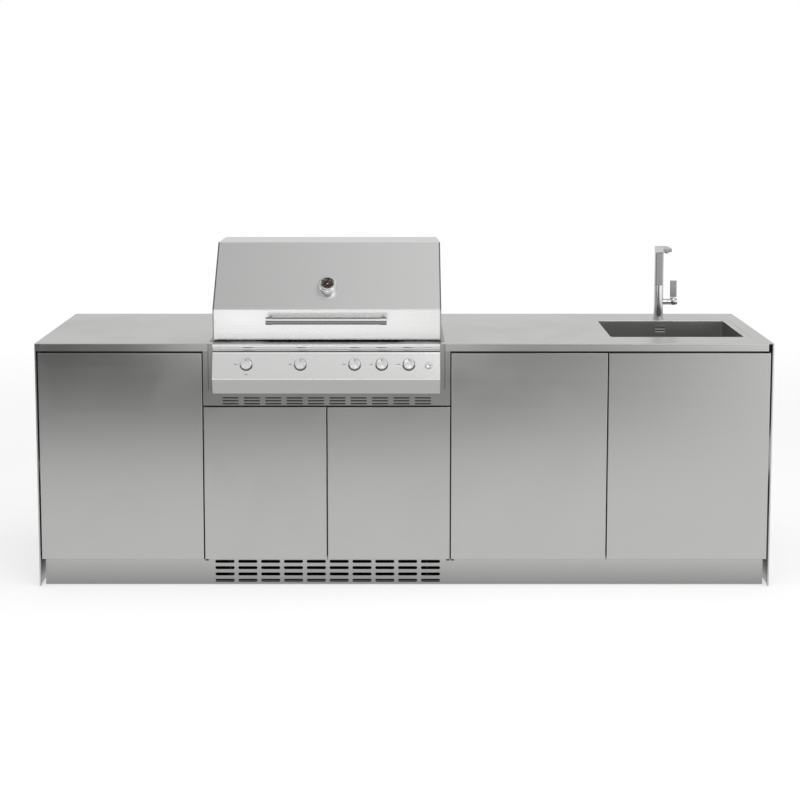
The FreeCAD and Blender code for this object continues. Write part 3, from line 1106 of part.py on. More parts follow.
def build_tap_lever():
    """Stem that turns for temperature, and the paddle that tips out on a cross pin for flow."""
    place = V(TAP_X, TAP_Y, TOP_Z + LEVER_HEIGHT)
    start = LEVER_HUB_END + LEVER_STEM_GAP
    stem = rod(V(start, 0, 0), ALONG_X, LEVER_HUB_RADIUS, LEVER_STEM_END - start)
    journal = rod(V(start - LEVER_JOURNAL, 0, 0), ALONG_X, LEVER_JOURNAL_RADIUS, LEVER_JOURNAL)
    half = LEVER_EYE_WIDTH / 2 + LEVER_EYE_PLAY
    pocket = box(LEVER_PIVOT_X - LEVER_POCKET_BACK, LEVER_PIVOT_X + LEVER_POCKET_FRONT, -half, half,
                 -LEVER_EYE_RADIUS - LEVER_EYE_PLAY, LEVER_HUB_RADIUS)
    pin = rod(V(LEVER_PIVOT_X, -half, 0), ALONG_Y, LEVER_PIN_RADIUS, 2 * half)
    keep("tap_lever_stem", fused(fused(stem, journal).cut(pocket), pin).translated(place))

    eye = rod(V(0, -LEVER_EYE_WIDTH / 2, 0), ALONG_Y, LEVER_EYE_RADIUS, LEVER_EYE_WIDTH)
    neck_foot = LEVER_EYE_RADIUS / 2
    neck = rod(V(0, 0, neck_foot), ALONG_Z, LEVER_NECK_RADIUS, LEVER_COLLAR_LIFT - neck_foot)
    collar = rod(V(0, 0, LEVER_COLLAR_LIFT), ALONG_Z, LEVER_COLLAR_RADIUS, PADDLE_LIFT - LEVER_COLLAR_LIFT)
    paddle = prism_z(rectangle(-PADDLE_WIDTH / 2, PADDLE_WIDTH / 2, -PADDLE_THICK / 2, PADDLE_THICK / 2,
                               PADDLE_RADIUS), PADDLE_LIFT, PADDLE_TOP)
    bore = rod(V(0, -LEVER_EYE_WIDTH / 2, 0), ALONG_Y, LEVER_PIN_RADIUS + LEVER_CLEARANCE, LEVER_EYE_WIDTH)
    lever = fused(eye, neck, collar, paddle).cut(bore)
    keep("tap_lever", lever.translated(place + ALONG_X * LEVER_PIVOT_X))


# The whole kitchen
build_carcass()
build_plinth()
build_worktop()
build_fascia()
build_doors()
build_control_panel()
build_controls()
build_gas_train()
build_firebox()
build_burners()
build_grates()
build_drip_tray()
build_hood()
build_handle()
build_thermometer()
build_sink()
build_tap_body()
build_tap_spout()
build_tap_lever()

# The knobs reach furthest forward and the worktop furthest back; the origin lies half way between
knob_reach = max(h * math.cos(PANEL_SLOPE) + r * math.sin(PANEL_SLOPE) for r, h in knob_profile())
front_y = PANEL_COVE_Y - KNOB_DROP * math.sin(PANEL_SLOPE) - knob_reach
TO_ORIGIN = V(0, -(front_y + DEPTH) / 2, 0)

os.makedirs("parts", exist_ok=True)
for name, shape in pieces.items():
    shape.translated(TO_ORIGIN).exportStep(f"parts/{name}.step")
    print(f"{name}: {len(shape.Solids)} solids, {shape.Volume / 1000:.1f} cm3, valid {shape.isValid()}")
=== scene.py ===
# %% [markdown]
# # An outdoor kitchen in stainless steel, dressed in Blender
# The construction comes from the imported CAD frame: every piece is already at its real size and place, in
# metres, and hangs under the body that it moves with. This lesson only dresses it. It sets up a small
# photo studio, builds the steels and the other finishes from nodes, and then remodels the pieces whose
# small forms carry the look: softly folded sheets, turned knobs, a thermometer's dial, ticks, louvres and
# fasteners.

# %% Load the fixed frame
import json
import math
from collections import namedtuple

import bmesh
import bpy
from mathutils import Matrix, Vector


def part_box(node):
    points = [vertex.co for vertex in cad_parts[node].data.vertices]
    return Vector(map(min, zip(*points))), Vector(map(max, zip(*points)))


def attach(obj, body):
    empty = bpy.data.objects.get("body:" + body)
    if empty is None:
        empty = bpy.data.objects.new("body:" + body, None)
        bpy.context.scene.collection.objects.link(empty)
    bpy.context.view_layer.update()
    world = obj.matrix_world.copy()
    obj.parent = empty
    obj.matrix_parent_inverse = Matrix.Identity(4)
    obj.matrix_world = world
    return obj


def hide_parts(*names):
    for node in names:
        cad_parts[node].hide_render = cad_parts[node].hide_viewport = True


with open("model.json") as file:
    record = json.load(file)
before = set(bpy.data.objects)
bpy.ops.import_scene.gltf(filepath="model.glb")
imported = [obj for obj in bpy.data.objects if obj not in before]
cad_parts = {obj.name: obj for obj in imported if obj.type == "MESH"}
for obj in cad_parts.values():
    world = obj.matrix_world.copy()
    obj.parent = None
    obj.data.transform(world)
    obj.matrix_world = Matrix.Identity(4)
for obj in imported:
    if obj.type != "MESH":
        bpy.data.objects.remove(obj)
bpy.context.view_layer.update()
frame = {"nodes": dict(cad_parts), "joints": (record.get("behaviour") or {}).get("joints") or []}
nodes = frame["nodes"]
scene = bpy.context.scene
MM = 0.001
X_AXIS, Y_AXIS, Z_AXIS = Vector((1, 0, 0)), Vector((0, 1, 0)), Vector((0, 0, 1))
AXES = (X_AXIS, Y_AXIS, Z_AXIS)


def linked(name, data):
    """A new object in the scene."""
    made = bpy.data.objects.new(name, data)
    scene.collection.objects.link(made)
    return made


# %% [markdown]
# ## Camera
# A product shot of a long, low object is taken from far away with a long lens, so that the verticals stay
# parallel. The camera stands at about twice the height of the worktop. A tilt alone would make the
# verticals converge, so a part of the framing is done by shifting the lens downwards, as a view camera
# does.

# %% Camera
CAMERA_PLACE = (-0.0139, -6.0459, 1.8639)
CAMERA_TILT = 0.1003
CAMERA_TURN = 0.0003
CAMERA_LENS = 71.14
CAMERA_SHIFT = -0.2
CAMERA_SIGHT = 200.0

camera_data = bpy.data.cameras.new("camera")
camera_data.lens = CAMERA_LENS
camera_data.shift_y = CAMERA_SHIFT
camera_data.clip_end = CAMERA_SIGHT
camera = linked("camera", camera_data)
camera.location = CAMERA_PLACE
camera.rotation_euler = (math.pi / 2 - CAMERA_TILT, 0.0, CAMERA_TURN)
scene.camera = camera
scene.view_settings.view_transform = "Standard"
print("camera with a lens of", CAMERA_LENS, "mm")

# %% [markdown]
# ## Small helpers for node trees
# Shader trees and geometry trees are built the same way: add a node, and say for each of its inputs where
# it comes from, a plain value or the output of another node. A few short functions for the commonest
# nodes keep the material cells readable. What they give back is such an output: the node and the name of
# its socket.

# %% Node helpers
WHITE = (1.0, 1.0, 1.0, 1.0)


def feed(node, inputs):
    """Sets inputs, by name or number, to values, or links them where the value is (node, output)."""
    for key, value in inputs.items():
        if isinstance(value, tuple) and isinstance(value[0], bpy.types.Node):
            source, output = value
            node.id_data.links.new(source.outputs[output], node.inputs[key])
        else:
            node.inputs[key].default_value = value


def add(tree, kind, inputs=None, **settings):
    """Adds one node with its settings, and feeds its inputs."""
    made = tree.nodes.new(kind)
    for key, value in settings.items():
        setattr(made, key, value)
    feed(made, inputs or {})
    return made


def math_of(tree, operation, *values):
    return add(tree, "ShaderNodeMath", dict(enumerate(values)), operation=operation), "Value"


def remap(tree, value, start=0.0, end=1.0, low=0.0, high=1.0):
    """Stretches the range from start to end into the range from low to high."""
    return add(tree, "ShaderNodeMapRange", {"Value": value, "From Min": start, "From Max": end,
                                            "To Min": low, "To Max": high}), "Result"


def noise(tree, vector, scale, detail=2.0, roughness=0.5, distortion=0.0):
    return add(tree, "ShaderNodeTexNoise", {"Vector": vector, "Scale": scale, "Detail": detail,
                                            "Roughness": roughness, "Distortion": distortion}), "Fac"


def mixed(tree, factor, first, second, blend="MIX"):
    """Mixes two colours."""
    return add(tree, "ShaderNodeMix", {"Factor": factor, "A": first, "B": second}, data_type="RGBA",
               blend_type=blend), "Result"


def scaled(tree, vector, scale):
    return add(tree, "ShaderNodeVectorMath", {0: vector, "Scale": scale}, operation="SCALE"), "Vector"


def color_ramp(tree, value, stops):
    """A ramp through stops of a position and a colour."""
    made = add(tree, "ShaderNodeValToRGB", {"Fac": value})
    elements = made.color_ramp.elements
    for element, (spot, color) in zip((elements[0], elements[1]), (stops[0], stops[-1])):
        element.position = spot
        element.color = color
    for spot, color in stops[1:-1]:
        elements.new(spot).color = color
    return made, "Color"


def axis_parts(tree, vector):
    return add(tree, "ShaderNodeSeparateXYZ", {"Vector": vector})


def group_tree(name, inputs, outputs):
    """Starts a shader group with named sockets, and gives the tree with its two end nodes."""
    tree = bpy.data.node_groups.new(name, "ShaderNodeTree")
    for label, kind, value in inputs:
        socket = tree.interface.new_socket(label, in_out="INPUT", socket_type=kind)
        if value is not None:
            socket.default_value = value
    for label, kind in outputs:
        tree.interface.new_socket(label, in_out="OUTPUT", socket_type=kind)
    return tree, tree.nodes.new("NodeGroupInput"), tree.nodes.new("NodeGroupOutput")


def start_material(name, plain, coordinates="Object"):
    """A new material, with its tree, its Principled shader with plain values, and its coordinates."""
    made = bpy.data.materials.new(name)
    made.use_nodes = True
    tree = made.node_tree
    shader = tree.nodes["Principled BSDF"]
    feed(shader, plain)
    return made, tree, shader, (add(tree, "ShaderNodeTexCoord"), coordinates)


print("helpers ready")

# %% [markdown]
# ## Studio
# Steel shows little of its own: it shows the room. So the studio is built for its reflections. Floor and
# backdrop are one white plane. Far away its own glow takes over from the light that falls on it, so that
# no horizon shows. Near the cabinet it stays a plain white surface, which can take a shadow.

# %% Floor and backdrop
FLOOR_HALF = 30.0
FLOOR_DROP = 0.0006
FLOOR_ALBEDO = 0.50
FLOOR_GLOW = 0.61
FLOOR_NEAR, FLOOR_FAR = 2.4, 6.0
SHADE_INSET, LIGHT_INSET = 0.06, 0.01
SQUARE = ((-1, -1), (1, -1), (1, 1), (-1, 1))
plinth_low, plinth_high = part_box("plinth")


def flat_panel(name, corners, finish):
    """A stage panel from its corners in order."""
    mesh = bpy.data.meshes.new(name)
    mesh.from_pydata([Vector(corner) for corner in corners], [], [tuple(range(len(corners)))])
    mesh.materials.append(finish)
    made = linked(name, mesh)
    return made


def floor_finish():
    """White that turns into the backdrop far away, and is painted black under the cabinet, inside the plinth:
    painted shade where no light gets.
    """
    made, tree, shader, place = start_material(
        "studio floor", {"Roughness": 0.85, "Specular IOR Level": 0.1, "Emission Color": WHITE})
    away = add(tree, "ShaderNodeVectorMath", {0: place}, operation="LENGTH"), "Value"
    split = axis_parts(tree, place)
    sides = [remap(tree, math_of(tree, "ABSOLUTE", (split, axis)), reach - SHADE_INSET, reach - LIGHT_INSET)
             for axis, reach in (("X", plinth_high.x), ("Y", -plinth_low.y))]
    outside_painted_shade = math_of(tree, "MAXIMUM", *sides)
    for entry, near, far in (("Base Color", FLOOR_ALBEDO, 0.0), ("Emission Strength", FLOOR_GLOW, 1.0)):
        level = remap(tree, away, FLOOR_NEAR, FLOOR_FAR, near, far)
        feed(shader, {entry: math_of(tree, "MULTIPLY", outside_painted_shade, level)})
    return made


flat_panel("studio_floor", [(x * FLOOR_HALF, y * FLOOR_HALF, -FLOOR_DROP) for x, y in SQUARE], floor_finish())
print("floor of", 2 * FLOOR_HALF, "m")

# %% [markdown]
# The world answers each kind of ray in its own way. The camera sees plain white, dull surfaces get an
# even light from all sides, and shiny surfaces see a soft room that is greyest a little above the
# horizon. The Light Path node tells the rays apart. In a real studio, paper, walls and ceiling do the
# same.

# %% World: white for the camera, a soft room for the reflections, a plain level for the rest
WORLD_LEVEL = 0.42
ROOM_GREYS = ((0.0, 0.96), (0.3, 0.7), (0.65, 0.85), (1.0, 1.0))
ROOM_SIDES = {"start": -0.35, "end": 0.35, "low": 0.97, "high": 1.04}

world = bpy.data.worlds.new("studio")
world.use_nodes = True
scene.world = world
sky = world.node_tree
sky.nodes.clear()


def background(color, strength):
    return add(sky, "ShaderNodeBackground", {"Color": color, "Strength": strength}), "Background"


split = axis_parts(sky, (add(sky, "ShaderNodeTexCoord"), "Generated"))
by_height = color_ramp(sky, (split, "Z"), [(spot, (grey, grey, grey, 1.0)) for spot, grey in ROOM_GREYS])
room = mixed(sky, 1.0, by_height, remap(sky, (split, "X"), **ROOM_SIDES), "MULTIPLY")
ray = add(sky, "ShaderNodeLightPath")
shiny = math_of(sky, "MAXIMUM", (ray, "Is Glossy Ray"), (ray, "Is Transmission Ray"))
for_shiny = add(sky, "ShaderNodeMixShader", {"Fac": shiny, 1: background(WHITE, WORLD_LEVEL),
                                             2: background(room, 1.0)})
for_camera = add(sky, "ShaderNodeMixShader", {"Fac": (ray, "Is Camera Ray"), 1: (for_shiny, "Shader"),
                                              2: background(WHITE, 1.0)})
add(sky, "ShaderNodeOutputWorld", {"Surface": (for_camera, "Shader")})
print("world with", len(sky.nodes), "nodes")

# %% [markdown]
# A dark panel, which photographers call a flag, stands in front of the doors, where only reflections find
# it: the tops of the doors reflect it and turn grey, the feet of the doors reflect the white floor. A
# white card near the grill fills the hood's band with light, and a grey flag overhead gives the worktop
# its tone. Ray visibility keeps flags and card out of the picture and out of the shadows, so they don't
# change the light on anything that isn't shiny.

# %% Flags and cards that only reflections see
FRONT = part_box("door_left_pan")[0].y
GRILL_MIDDLE = (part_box("hood_shell")[0].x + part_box("hood_shell")[1].x) / 2
FLAG_DISTANCE, FLAG_HEIGHT, FLAG_HALF = 2.75, 1.7, 9.0
FLAG_DARK, FLAG_LIGHT = 0.03, 1.5
FLAG_FADE = (-1.4, 2.45)
FLAG_BEND = 3.0
CARD_DISTANCE = 1.0
CARD_SIDES = (GRILL_MIDDLE - 0.74, GRILL_MIDDLE + 0.62)
CARD_FOOT, CARD_TOP = 0.70, 1.02
CARD_LIGHT = (1.14, 0.90)
CEILING_HALF, CEILING_DEPTH, CEILING_HEIGHT = 6.0, 2.2, 4.0
CEILING_DARK, CEILING_LIGHT = 0.50, 0.80
CEILING_FADE = (-1.2, 0.4)


def graded_glow(name, fade, dark, light, bend=1.0):
    """A panel that shines more and more from left to right, with a bend in the rise."""
    made = bpy.data.materials.new(name)
    made.use_nodes = True
    tree = made.node_tree
    tree.nodes.clear()
    split = axis_parts(tree, (add(tree, "ShaderNodeTexCoord"), "Object"))
    bent = math_of(tree, "POWER", remap(tree, (split, "X"), *fade), bend)
    level = remap(tree, bent, low=dark, high=light)
    glow = add(tree, "ShaderNodeEmission", {"Color": WHITE, "Strength": level})
    add(tree, "ShaderNodeOutputMaterial", {"Surface": (glow, "Emission")})
    return made


def upright(left, right, y, foot, top):
    """The corners of a panel that faces the doors."""
    return [(left, y, foot), (right, y, foot), (right, y, top), (left, y, top)]


flag = flat_panel("front_flag", upright(-FLAG_HALF, FLAG_HALF, FRONT - FLAG_DISTANCE, 0.0, FLAG_HEIGHT),
                  graded_glow("flag grey", FLAG_FADE, FLAG_DARK, FLAG_LIGHT, FLAG_BEND))
card = flat_panel("grill_card", upright(*CARD_SIDES, FRONT - CARD_DISTANCE, CARD_FOOT, CARD_TOP),
                  graded_glow("card white", CARD_SIDES, *CARD_LIGHT))
ceiling = flat_panel("ceiling_flag",
                     [(x * CEILING_HALF, y * CEILING_DEPTH, CEILING_HEIGHT) for x, y in SQUARE],
                     graded_glow("ceiling grey", CEILING_FADE, CEILING_DARK, CEILING_LIGHT))
for panel in (flag, card, ceiling):
    for hidden_from in ("camera", "diffuse", "transmission", "volume_scatter", "shadow"):
        setattr(panel, f"visible_{hidden_from}", False)
print("panels that only reflections see:", 3)

# %% [markdown]
# Two area lamps do the rest. The large one overhead lights the object softly, and is hidden from
# reflections, because its square would show in the worktop. The small one stands in front, on the right
# and high up, and gives the round pieces a highlight.

# %% Lamps
def softbox(name, place, target, size, power):
    """A square area lamp at a place, turned to a target."""
    lamp = bpy.data.lights.new(name, "AREA")
    lamp.size = size
    lamp.energy = power
    made = linked(name, lamp)
    made.location = place
    made.rotation_euler = (Vector(target) - Vector(place)).to_track_quat("-Z", "Y").to_euler()
    return made


top_softbox = softbox("top_softbox", place=(0.3, -0.9, 4.2), target=(0.0, -0.1, 0.5), size=4.0, power=90.0)
top_softbox.visible_glossy = False
softbox("front_softbox", place=(1.7, -4.4, 3.6), target=(0.0, 0.0, 0.6), size=1.6, power=26.0)

# %% [markdown]
# ## Shared effects as shader groups
# Brushing, handling and heat touch many finishes, so each is one group with named sockets. A brushed
# sheet carries thousands of fine parallel scratches: noise stretched far along one axis is enough,
# because nobody reads a single scratch. The group gives out only what varies: a colour, a roughness and a
# height for the bump.

# %% Group: brushed grain
BROAD_SHARE, BROAD_SCALE = 0.35, 0.17


def brushed_grain_group():
    tree, start, end = group_tree(
        "Brushed Grain",
        [("Coordinates", "NodeSocketVector", None), ("Stretch", "NodeSocketVector", (4.0, 600.0, 600.0)),
         ("Color", "NodeSocketColor", (0.5, 0.5, 0.5, 1.0)), ("Tint Spread", "NodeSocketFloat", 0.06),
         ("Roughness", "NodeSocketFloat", 0.3), ("Roughness Spread", "NodeSocketFloat", 0.08)],
        [("Color", "NodeSocketColor"), ("Roughness", "NodeSocketFloat"), ("Height", "NodeSocketFloat")])
    stretched = add(tree, "ShaderNodeVectorMath", {0: (start, "Coordinates"), 1: (start, "Stretch")},
                    operation="MULTIPLY"), "Vector"
    fine = noise(tree, stretched, 1.0, detail=3.0, roughness=0.65)
    broad = noise(tree, stretched, BROAD_SCALE)
    both = add(tree, "ShaderNodeMix", {"Factor": BROAD_SHARE, "A": fine, "B": broad}), "Result"
    centred = math_of(tree, "SUBTRACT", both, 0.5)
    shade = math_of(tree, "MULTIPLY", centred, (start, "Tint Spread"))
    feed(end, {"Color": scaled(tree, (start, "Color"), math_of(tree, "ADD", shade, 1.0)),
               "Roughness": math_of(tree, "MULTIPLY_ADD", centred, (start, "Roughness Spread"),
                                    (start, "Roughness")),
               "Height": both})
    return tree


BRUSHED_GRAIN = brushed_grain_group()
print("group:", BRUSHED_GRAIN.name)

# %% [markdown]
# Handling marks are wiped stains and finger grease: soft cloudy patches that make steel a little duller.
# They stay faint here, because the kitchen is new.

# %% Group: handling marks
SMUDGE_EDGE = (0.46, 0.74)


def handling_group():
    tree, start, end = group_tree(
        "Handling Marks", [("Coordinates", "NodeSocketVector", None), ("Size", "NodeSocketFloat", 3.0)],
        [("Smudge", "NodeSocketFloat")])
    cloud = noise(tree, (start, "Coordinates"), (start, "Size"), detail=5.0, roughness=0.62, distortion=0.8)
    feed(end, {"Smudge": remap(tree, cloud, *SMUDGE_EDGE)})
    return tree


HANDLING = handling_group()
print("group:", HANDLING.name)

# %% [markdown]
# Steel near a flame takes colours: straw first, then brown and blue, in uneven zones.

# %% Group: heat tint
HEAT_COLORS = ((0.32, WHITE), (0.46, (1.0, 0.84, 0.55, 1.0)), (0.60, (0.70, 0.42, 0.34, 1.0)),
               (0.75, (0.34, 0.36, 0.62, 1.0)))


def heat_group():
    tree, start, end = group_tree(
        "Heat Tint", [("Coordinates", "NodeSocketVector", None), ("Size", "NodeSocketFloat", 9.0),
                      ("Color", "NodeSocketColor", (0.5, 0.5, 0.5, 1.0)), ("Amount", "NodeSocketFloat", 0.6)],
        [("Color", "NodeSocketColor")])
    zones = noise(tree, (start, "Coordinates"), (start, "Size"), detail=3.0, roughness=0.55)
    tints = color_ramp(tree, zones, HEAT_COLORS)
    feed(end, {"Color": mixed(tree, (start, "Amount"), (start, "Color"), tints, "MULTIPLY")})
    return tree


HEAT = heat_group()
print("group:", HEAT.name)

# %% [markdown]
# ## Finishes
# Every steel is the same recipe with other values: a metallic shader whose colour, roughness and bump come
# from the grain group, duller where hands were. Brushing also stretches highlights across the scratches, so
# the shader is anisotropic, with its tangent along the grain. The tangent is turned from the object's space
# into the world's, so it turns with a door that opens. Several steels are lighter or darker copies of one
# another: they paint highlights and shade into the colour where a sheet would catch or lose light.

# %% Steel recipe
GRAIN_X = (3.0, 520.0, 520.0)
GRAIN_Y = (520.0, 3.0, 520.0)
ALONG = {GRAIN_X: (1.0, 0.013, 0.007), GRAIN_Y: (0.013, 1.0, 0.007)}
SCRATCH_DEPTH = 0.0005


def steel(name, color, roughness, grain=GRAIN_X, anisotropic=0.5, tint_spread=0.08, rough_spread=0.10,
          smudge=0.05, bump=0.02, heat=0.0, foot=None):
    """A brushed steel with its grain along one axis. A foot gives a lower height, where the steel is painted
    darker as painted shade, a height where it isn't, and how much light is left at the lower one."""
    made, tree, shader, place = start_material(name, {"Metallic": 1.0, "Anisotropic": anisotropic})
    brushed = add(tree, "ShaderNodeGroup", {
        "Coordinates": place, "Stretch": grain, "Color": (*color, 1.0), "Tint Spread": tint_spread,
        "Roughness": roughness, "Roughness Spread": rough_spread}, node_tree=BRUSHED_GRAIN)
    marks = add(tree, "ShaderNodeGroup", {"Coordinates": place}, node_tree=HANDLING)
    scratches = add(tree, "ShaderNodeBump", {"Strength": bump, "Distance": SCRATCH_DEPTH,
                                             "Height": (brushed, "Height")})
    tangent = add(tree, "ShaderNodeVectorTransform", {"Vector": ALONG[grain]}, vector_type="VECTOR",
                  convert_from="OBJECT", convert_to="WORLD")
    colored = (brushed, "Color")
    # The foot is painted shade: the colour darkens towards the lower height.
    if foot:
        low, high, left_light = foot
        rise = remap(tree, (axis_parts(tree, place), "Z"), low, high, left_light)
        colored = scaled(tree, colored, rise)
    if heat:
        burnt = add(tree, "ShaderNodeGroup", {"Coordinates": place, "Color": colored, "Amount": heat},
                    node_tree=HEAT)
        colored = (burnt, "Color")
    feed(shader, {"Base Color": colored, "Normal": (scratches, "Normal"), "Tangent": (tangent, "Vector"),
                  "Roughness": math_of(tree, "MULTIPLY_ADD", (marks, "Smudge"), smudge,
                                       (brushed, "Roughness"))})
    return made


cabinet_steel = steel("cabinet steel", (0.475, 0.475, 0.468), 0.30)
worktop_steel = steel("worktop steel", (0.54, 0.54, 0.53), 0.30, smudge=0.07)
side_steel = steel("side steel", (0.505, 0.505, 0.497), 0.30, GRAIN_Y)
# Darker steel for the fascia: painted shade below the grill front.
fascia_shade_steel = steel("fascia painted shade steel", (0.41, 0.41, 0.405), 0.30)
# The plinth is darker, and darker still towards the floor: painted shade.
plinth_shade_steel = steel("plinth painted shade steel", (0.45, 0.45, 0.445), 0.32, foot=(0.0, plinth_high.z, 0.66))
inner_steel = steel("inner steel", (0.40, 0.40, 0.39), 0.40, anisotropic=0.3, bump=0.05)
# Near black steel for the frame that shows in the gaps: painted shade.
gap_shade_steel = steel("gap painted shade steel", (0.055, 0.055, 0.055), 0.45, anisotropic=0.2, bump=0.05)
hood_steel = steel("hood steel", (0.76, 0.76, 0.755), 0.32, smudge=0.03, bump=0.008)
# A brighter copy of the hood's steel: painted highlight on the hood's band, the bullnose and the folds.
hood_highlight_steel = steel("hood band painted highlight steel", (0.95, 0.95, 0.945), 0.26, tint_spread=0.03, smudge=0.03,
                        bump=0.003)
panel_steel = steel("panel steel", (0.79, 0.79, 0.785), 0.22, tint_spread=0.05, smudge=0.03, bump=0.003)
# Darker steel for the rim of the grill front, under the hood: painted shade.
rim_shade_steel = steel("panel rim painted shade steel", (0.50, 0.50, 0.495), 0.26, smudge=0.03, bump=0.003)
cove_steel = steel("panel cove steel", (0.66, 0.66, 0.655), 0.12, anisotropic=0.3, smudge=0.02, bump=0.002)
# Dark steel for edges, creases and the igniter's ring: painted shade.
edge_shade_steel = steel("shaded edge steel", (0.19, 0.19, 0.19), 0.34, bump=0.006)
# Darker steel for the grill front below its lower fold: painted shade.
band_shade_steel = steel("panel band painted shade steel", (0.42, 0.42, 0.415), 0.34)
# A lit and a shaded copy of one steel for the handle: painted highlight and painted shade. The bright one
# also paints highlights on small lips.
handle_highlight_steel = steel("handle painted highlight steel", (0.88, 0.88, 0.875), 0.22, tint_spread=0.05, smudge=0.04, bump=0.006)
handle_shade_steel = steel("handle shaded steel", (0.24, 0.24, 0.24), 0.24, tint_spread=0.05, bump=0.006)
sink_steel = steel("sink steel", (0.50, 0.50, 0.49), 0.33, smudge=0.08)
grate_steel = steel("grate steel", (0.46, 0.455, 0.44), 0.34, GRAIN_Y, heat=0.35)
burner_steel = steel("burner steel", (0.50, 0.49, 0.47), 0.36, GRAIN_Y, heat=0.75)
firebox_steel = steel("firebox steel", (0.42, 0.415, 0.40), 0.42, heat=0.30)
print("steels:", len(bpy.data.materials))

# %% [markdown]
# The other finishes are few. Polished pieces, brass and pipe are bare metals whose gloss drifts in
# clouds. Moulded black plastic, rubber and paint have a fine pebbled bump, the burner tile is a coarse
# ceramic, and glass is left clear with a trace of grease.

# %% Polished, moulded and ceramic finishes
MOULD_DEPTH = 0.0004
MOULD_CLOUD = 14.0
CLOUD_GAIN, CLOUD_LIFT = 1.35, 0.004
CLOUD_GLOSS, CLOUD_DULL = 0.06, 0.10


def patina_metal(name, bright, dull, roughness, spread, size):
    """A bare metal whose colour and gloss drift in clouds."""
    made, tree, shader, place = start_material(name, {"Metallic": 1.0})
    cloud = noise(tree, place, size, detail=4.0, roughness=0.6)
    feed(shader, {"Base Color": mixed(tree, cloud, (*bright, 1.0), (*dull, 1.0)),
                  "Roughness": remap(tree, cloud, low=roughness, high=roughness + spread)})
    return made


def moulded(name, color, roughness, pebble_size, pebble_depth, gloss=0.5):
    """A moulded or painted surface with a fine pebbled skin."""
    made, tree, shader, place = start_material(name, {"Specular IOR Level": gloss})
    pebbles = add(tree, "ShaderNodeTexVoronoi", {"Vector": place, "Scale": pebble_size})
    cloud = noise(tree, place, MOULD_CLOUD, detail=4.0)
    lighter = tuple(min(1.0, part * CLOUD_GAIN + CLOUD_LIFT) for part in color)
    skin = add(tree, "ShaderNodeBump", {"Strength": pebble_depth, "Distance": MOULD_DEPTH,
                                        "Height": (pebbles, "Distance")})
    feed(shader, {"Base Color": mixed(tree, cloud, (*color, 1.0), (*lighter, 1.0)),
                  "Roughness": remap(tree, cloud, low=roughness - CLOUD_GLOSS, high=roughness + CLOUD_DULL),
                  "Normal": (skin, "Normal")})
    return made


knob_dark = patina_metal("dark knob side", (0.11, 0.11, 0.11), (0.06, 0.06, 0.06), 0.26, 0.12, 60.0)
chrome = patina_metal("chrome", (0.80, 0.80, 0.80), (0.70, 0.70, 0.70), 0.07, 0.08, 22.0)
satin_tap = patina_metal("satin tap steel", (0.45, 0.45, 0.445), (0.39, 0.39, 0.385), 0.22, 0.08, 16.0)
tap_chrome = patina_metal("tap chrome", (0.66, 0.66, 0.66), (0.56, 0.56, 0.56), 0.12, 0.06, 16.0)
screw_steel = patina_metal("screw steel", (0.62, 0.62, 0.61), (0.50, 0.50, 0.49), 0.24, 0.12, 40.0)
brass = patina_metal("brass", (0.74, 0.54, 0.24), (0.52, 0.36, 0.15), 0.26, 0.18, 30.0)
gas_pipe = patina_metal("gas pipe", (0.62, 0.62, 0.61), (0.46, 0.45, 0.44), 0.30, 0.16, 18.0)
# Black plastic, also used as painted shade on the knob rings below each knob.
black_and_shade_plastic = moulded("black plastic and painted shade", (0.018, 0.018, 0.019), 0.36, 900.0, 0.12)
foot_plastic = moulded("foot plastic", (0.022, 0.022, 0.023), 0.55, 700.0, 0.30)
# Black for print, and as painted shade in slots and holes.
ink_and_shade_black = moulded("ink and painted shade black", (0.012, 0.012, 0.013), 0.50, 1200.0, 0.05)
dial_black = moulded("dial black", (0.013, 0.012, 0.011), 0.42, 1400.0, 0.06, gloss=0.08)
dial_grey = moulded("dial grey", (0.045, 0.036, 0.029), 0.40, 1400.0, 0.06, gloss=0.08)
etch_grey = moulded("etched grey", (0.07, 0.07, 0.07), 0.50, 1400.0, 0.04)
dial_white = moulded("dial white", (0.82, 0.81, 0.78), 0.45, 1400.0, 0.04)
needle_red = moulded("needle red", (0.20, 0.030, 0.020), 0.38, 1400.0, 0.04, gloss=0.2)
burner_ceramic = moulded("burner ceramic", (0.66, 0.56, 0.44), 0.85, 260.0, 0.9)
print("finishes:", len(bpy.data.materials))

# %% [markdown]
# The glass before the dial is a thin pane, which hardly bends the light. So its index of refraction is
# set close to that of air, and grease from fingers blurs it a little in patches.

# %% Clear glass with a trace of grease
GREASE_TINT = (0.93, 0.95, 0.95, 1.0)
GREASE_BLUR = 0.06
GREASE_SIZE = 40.0


def clear_glass(name):
    made, tree, shader, place = start_material(name, {"Transmission Weight": 1.0, "IOR": 1.10})
    marks = add(tree, "ShaderNodeGroup", {"Coordinates": place, "Size": GREASE_SIZE}, node_tree=HANDLING)
    smudge = (marks, "Smudge")
    feed(shader, {"Roughness": remap(tree, smudge, high=GREASE_BLUR),
                  "Base Color": mixed(tree, smudge, WHITE, GREASE_TINT)})
    return made


glass = clear_glass("glass")
print("finishes:", len(bpy.data.materials))

# %% [markdown]
# ## Dress the CAD pieces
# Most sheet-metal pieces are already right in the frame, so they keep their shape and only take a finish.
# The list goes by what the piece is made of. Pieces that are remodelled further on are dressed as well,
# so that no node of the frame is left bare.

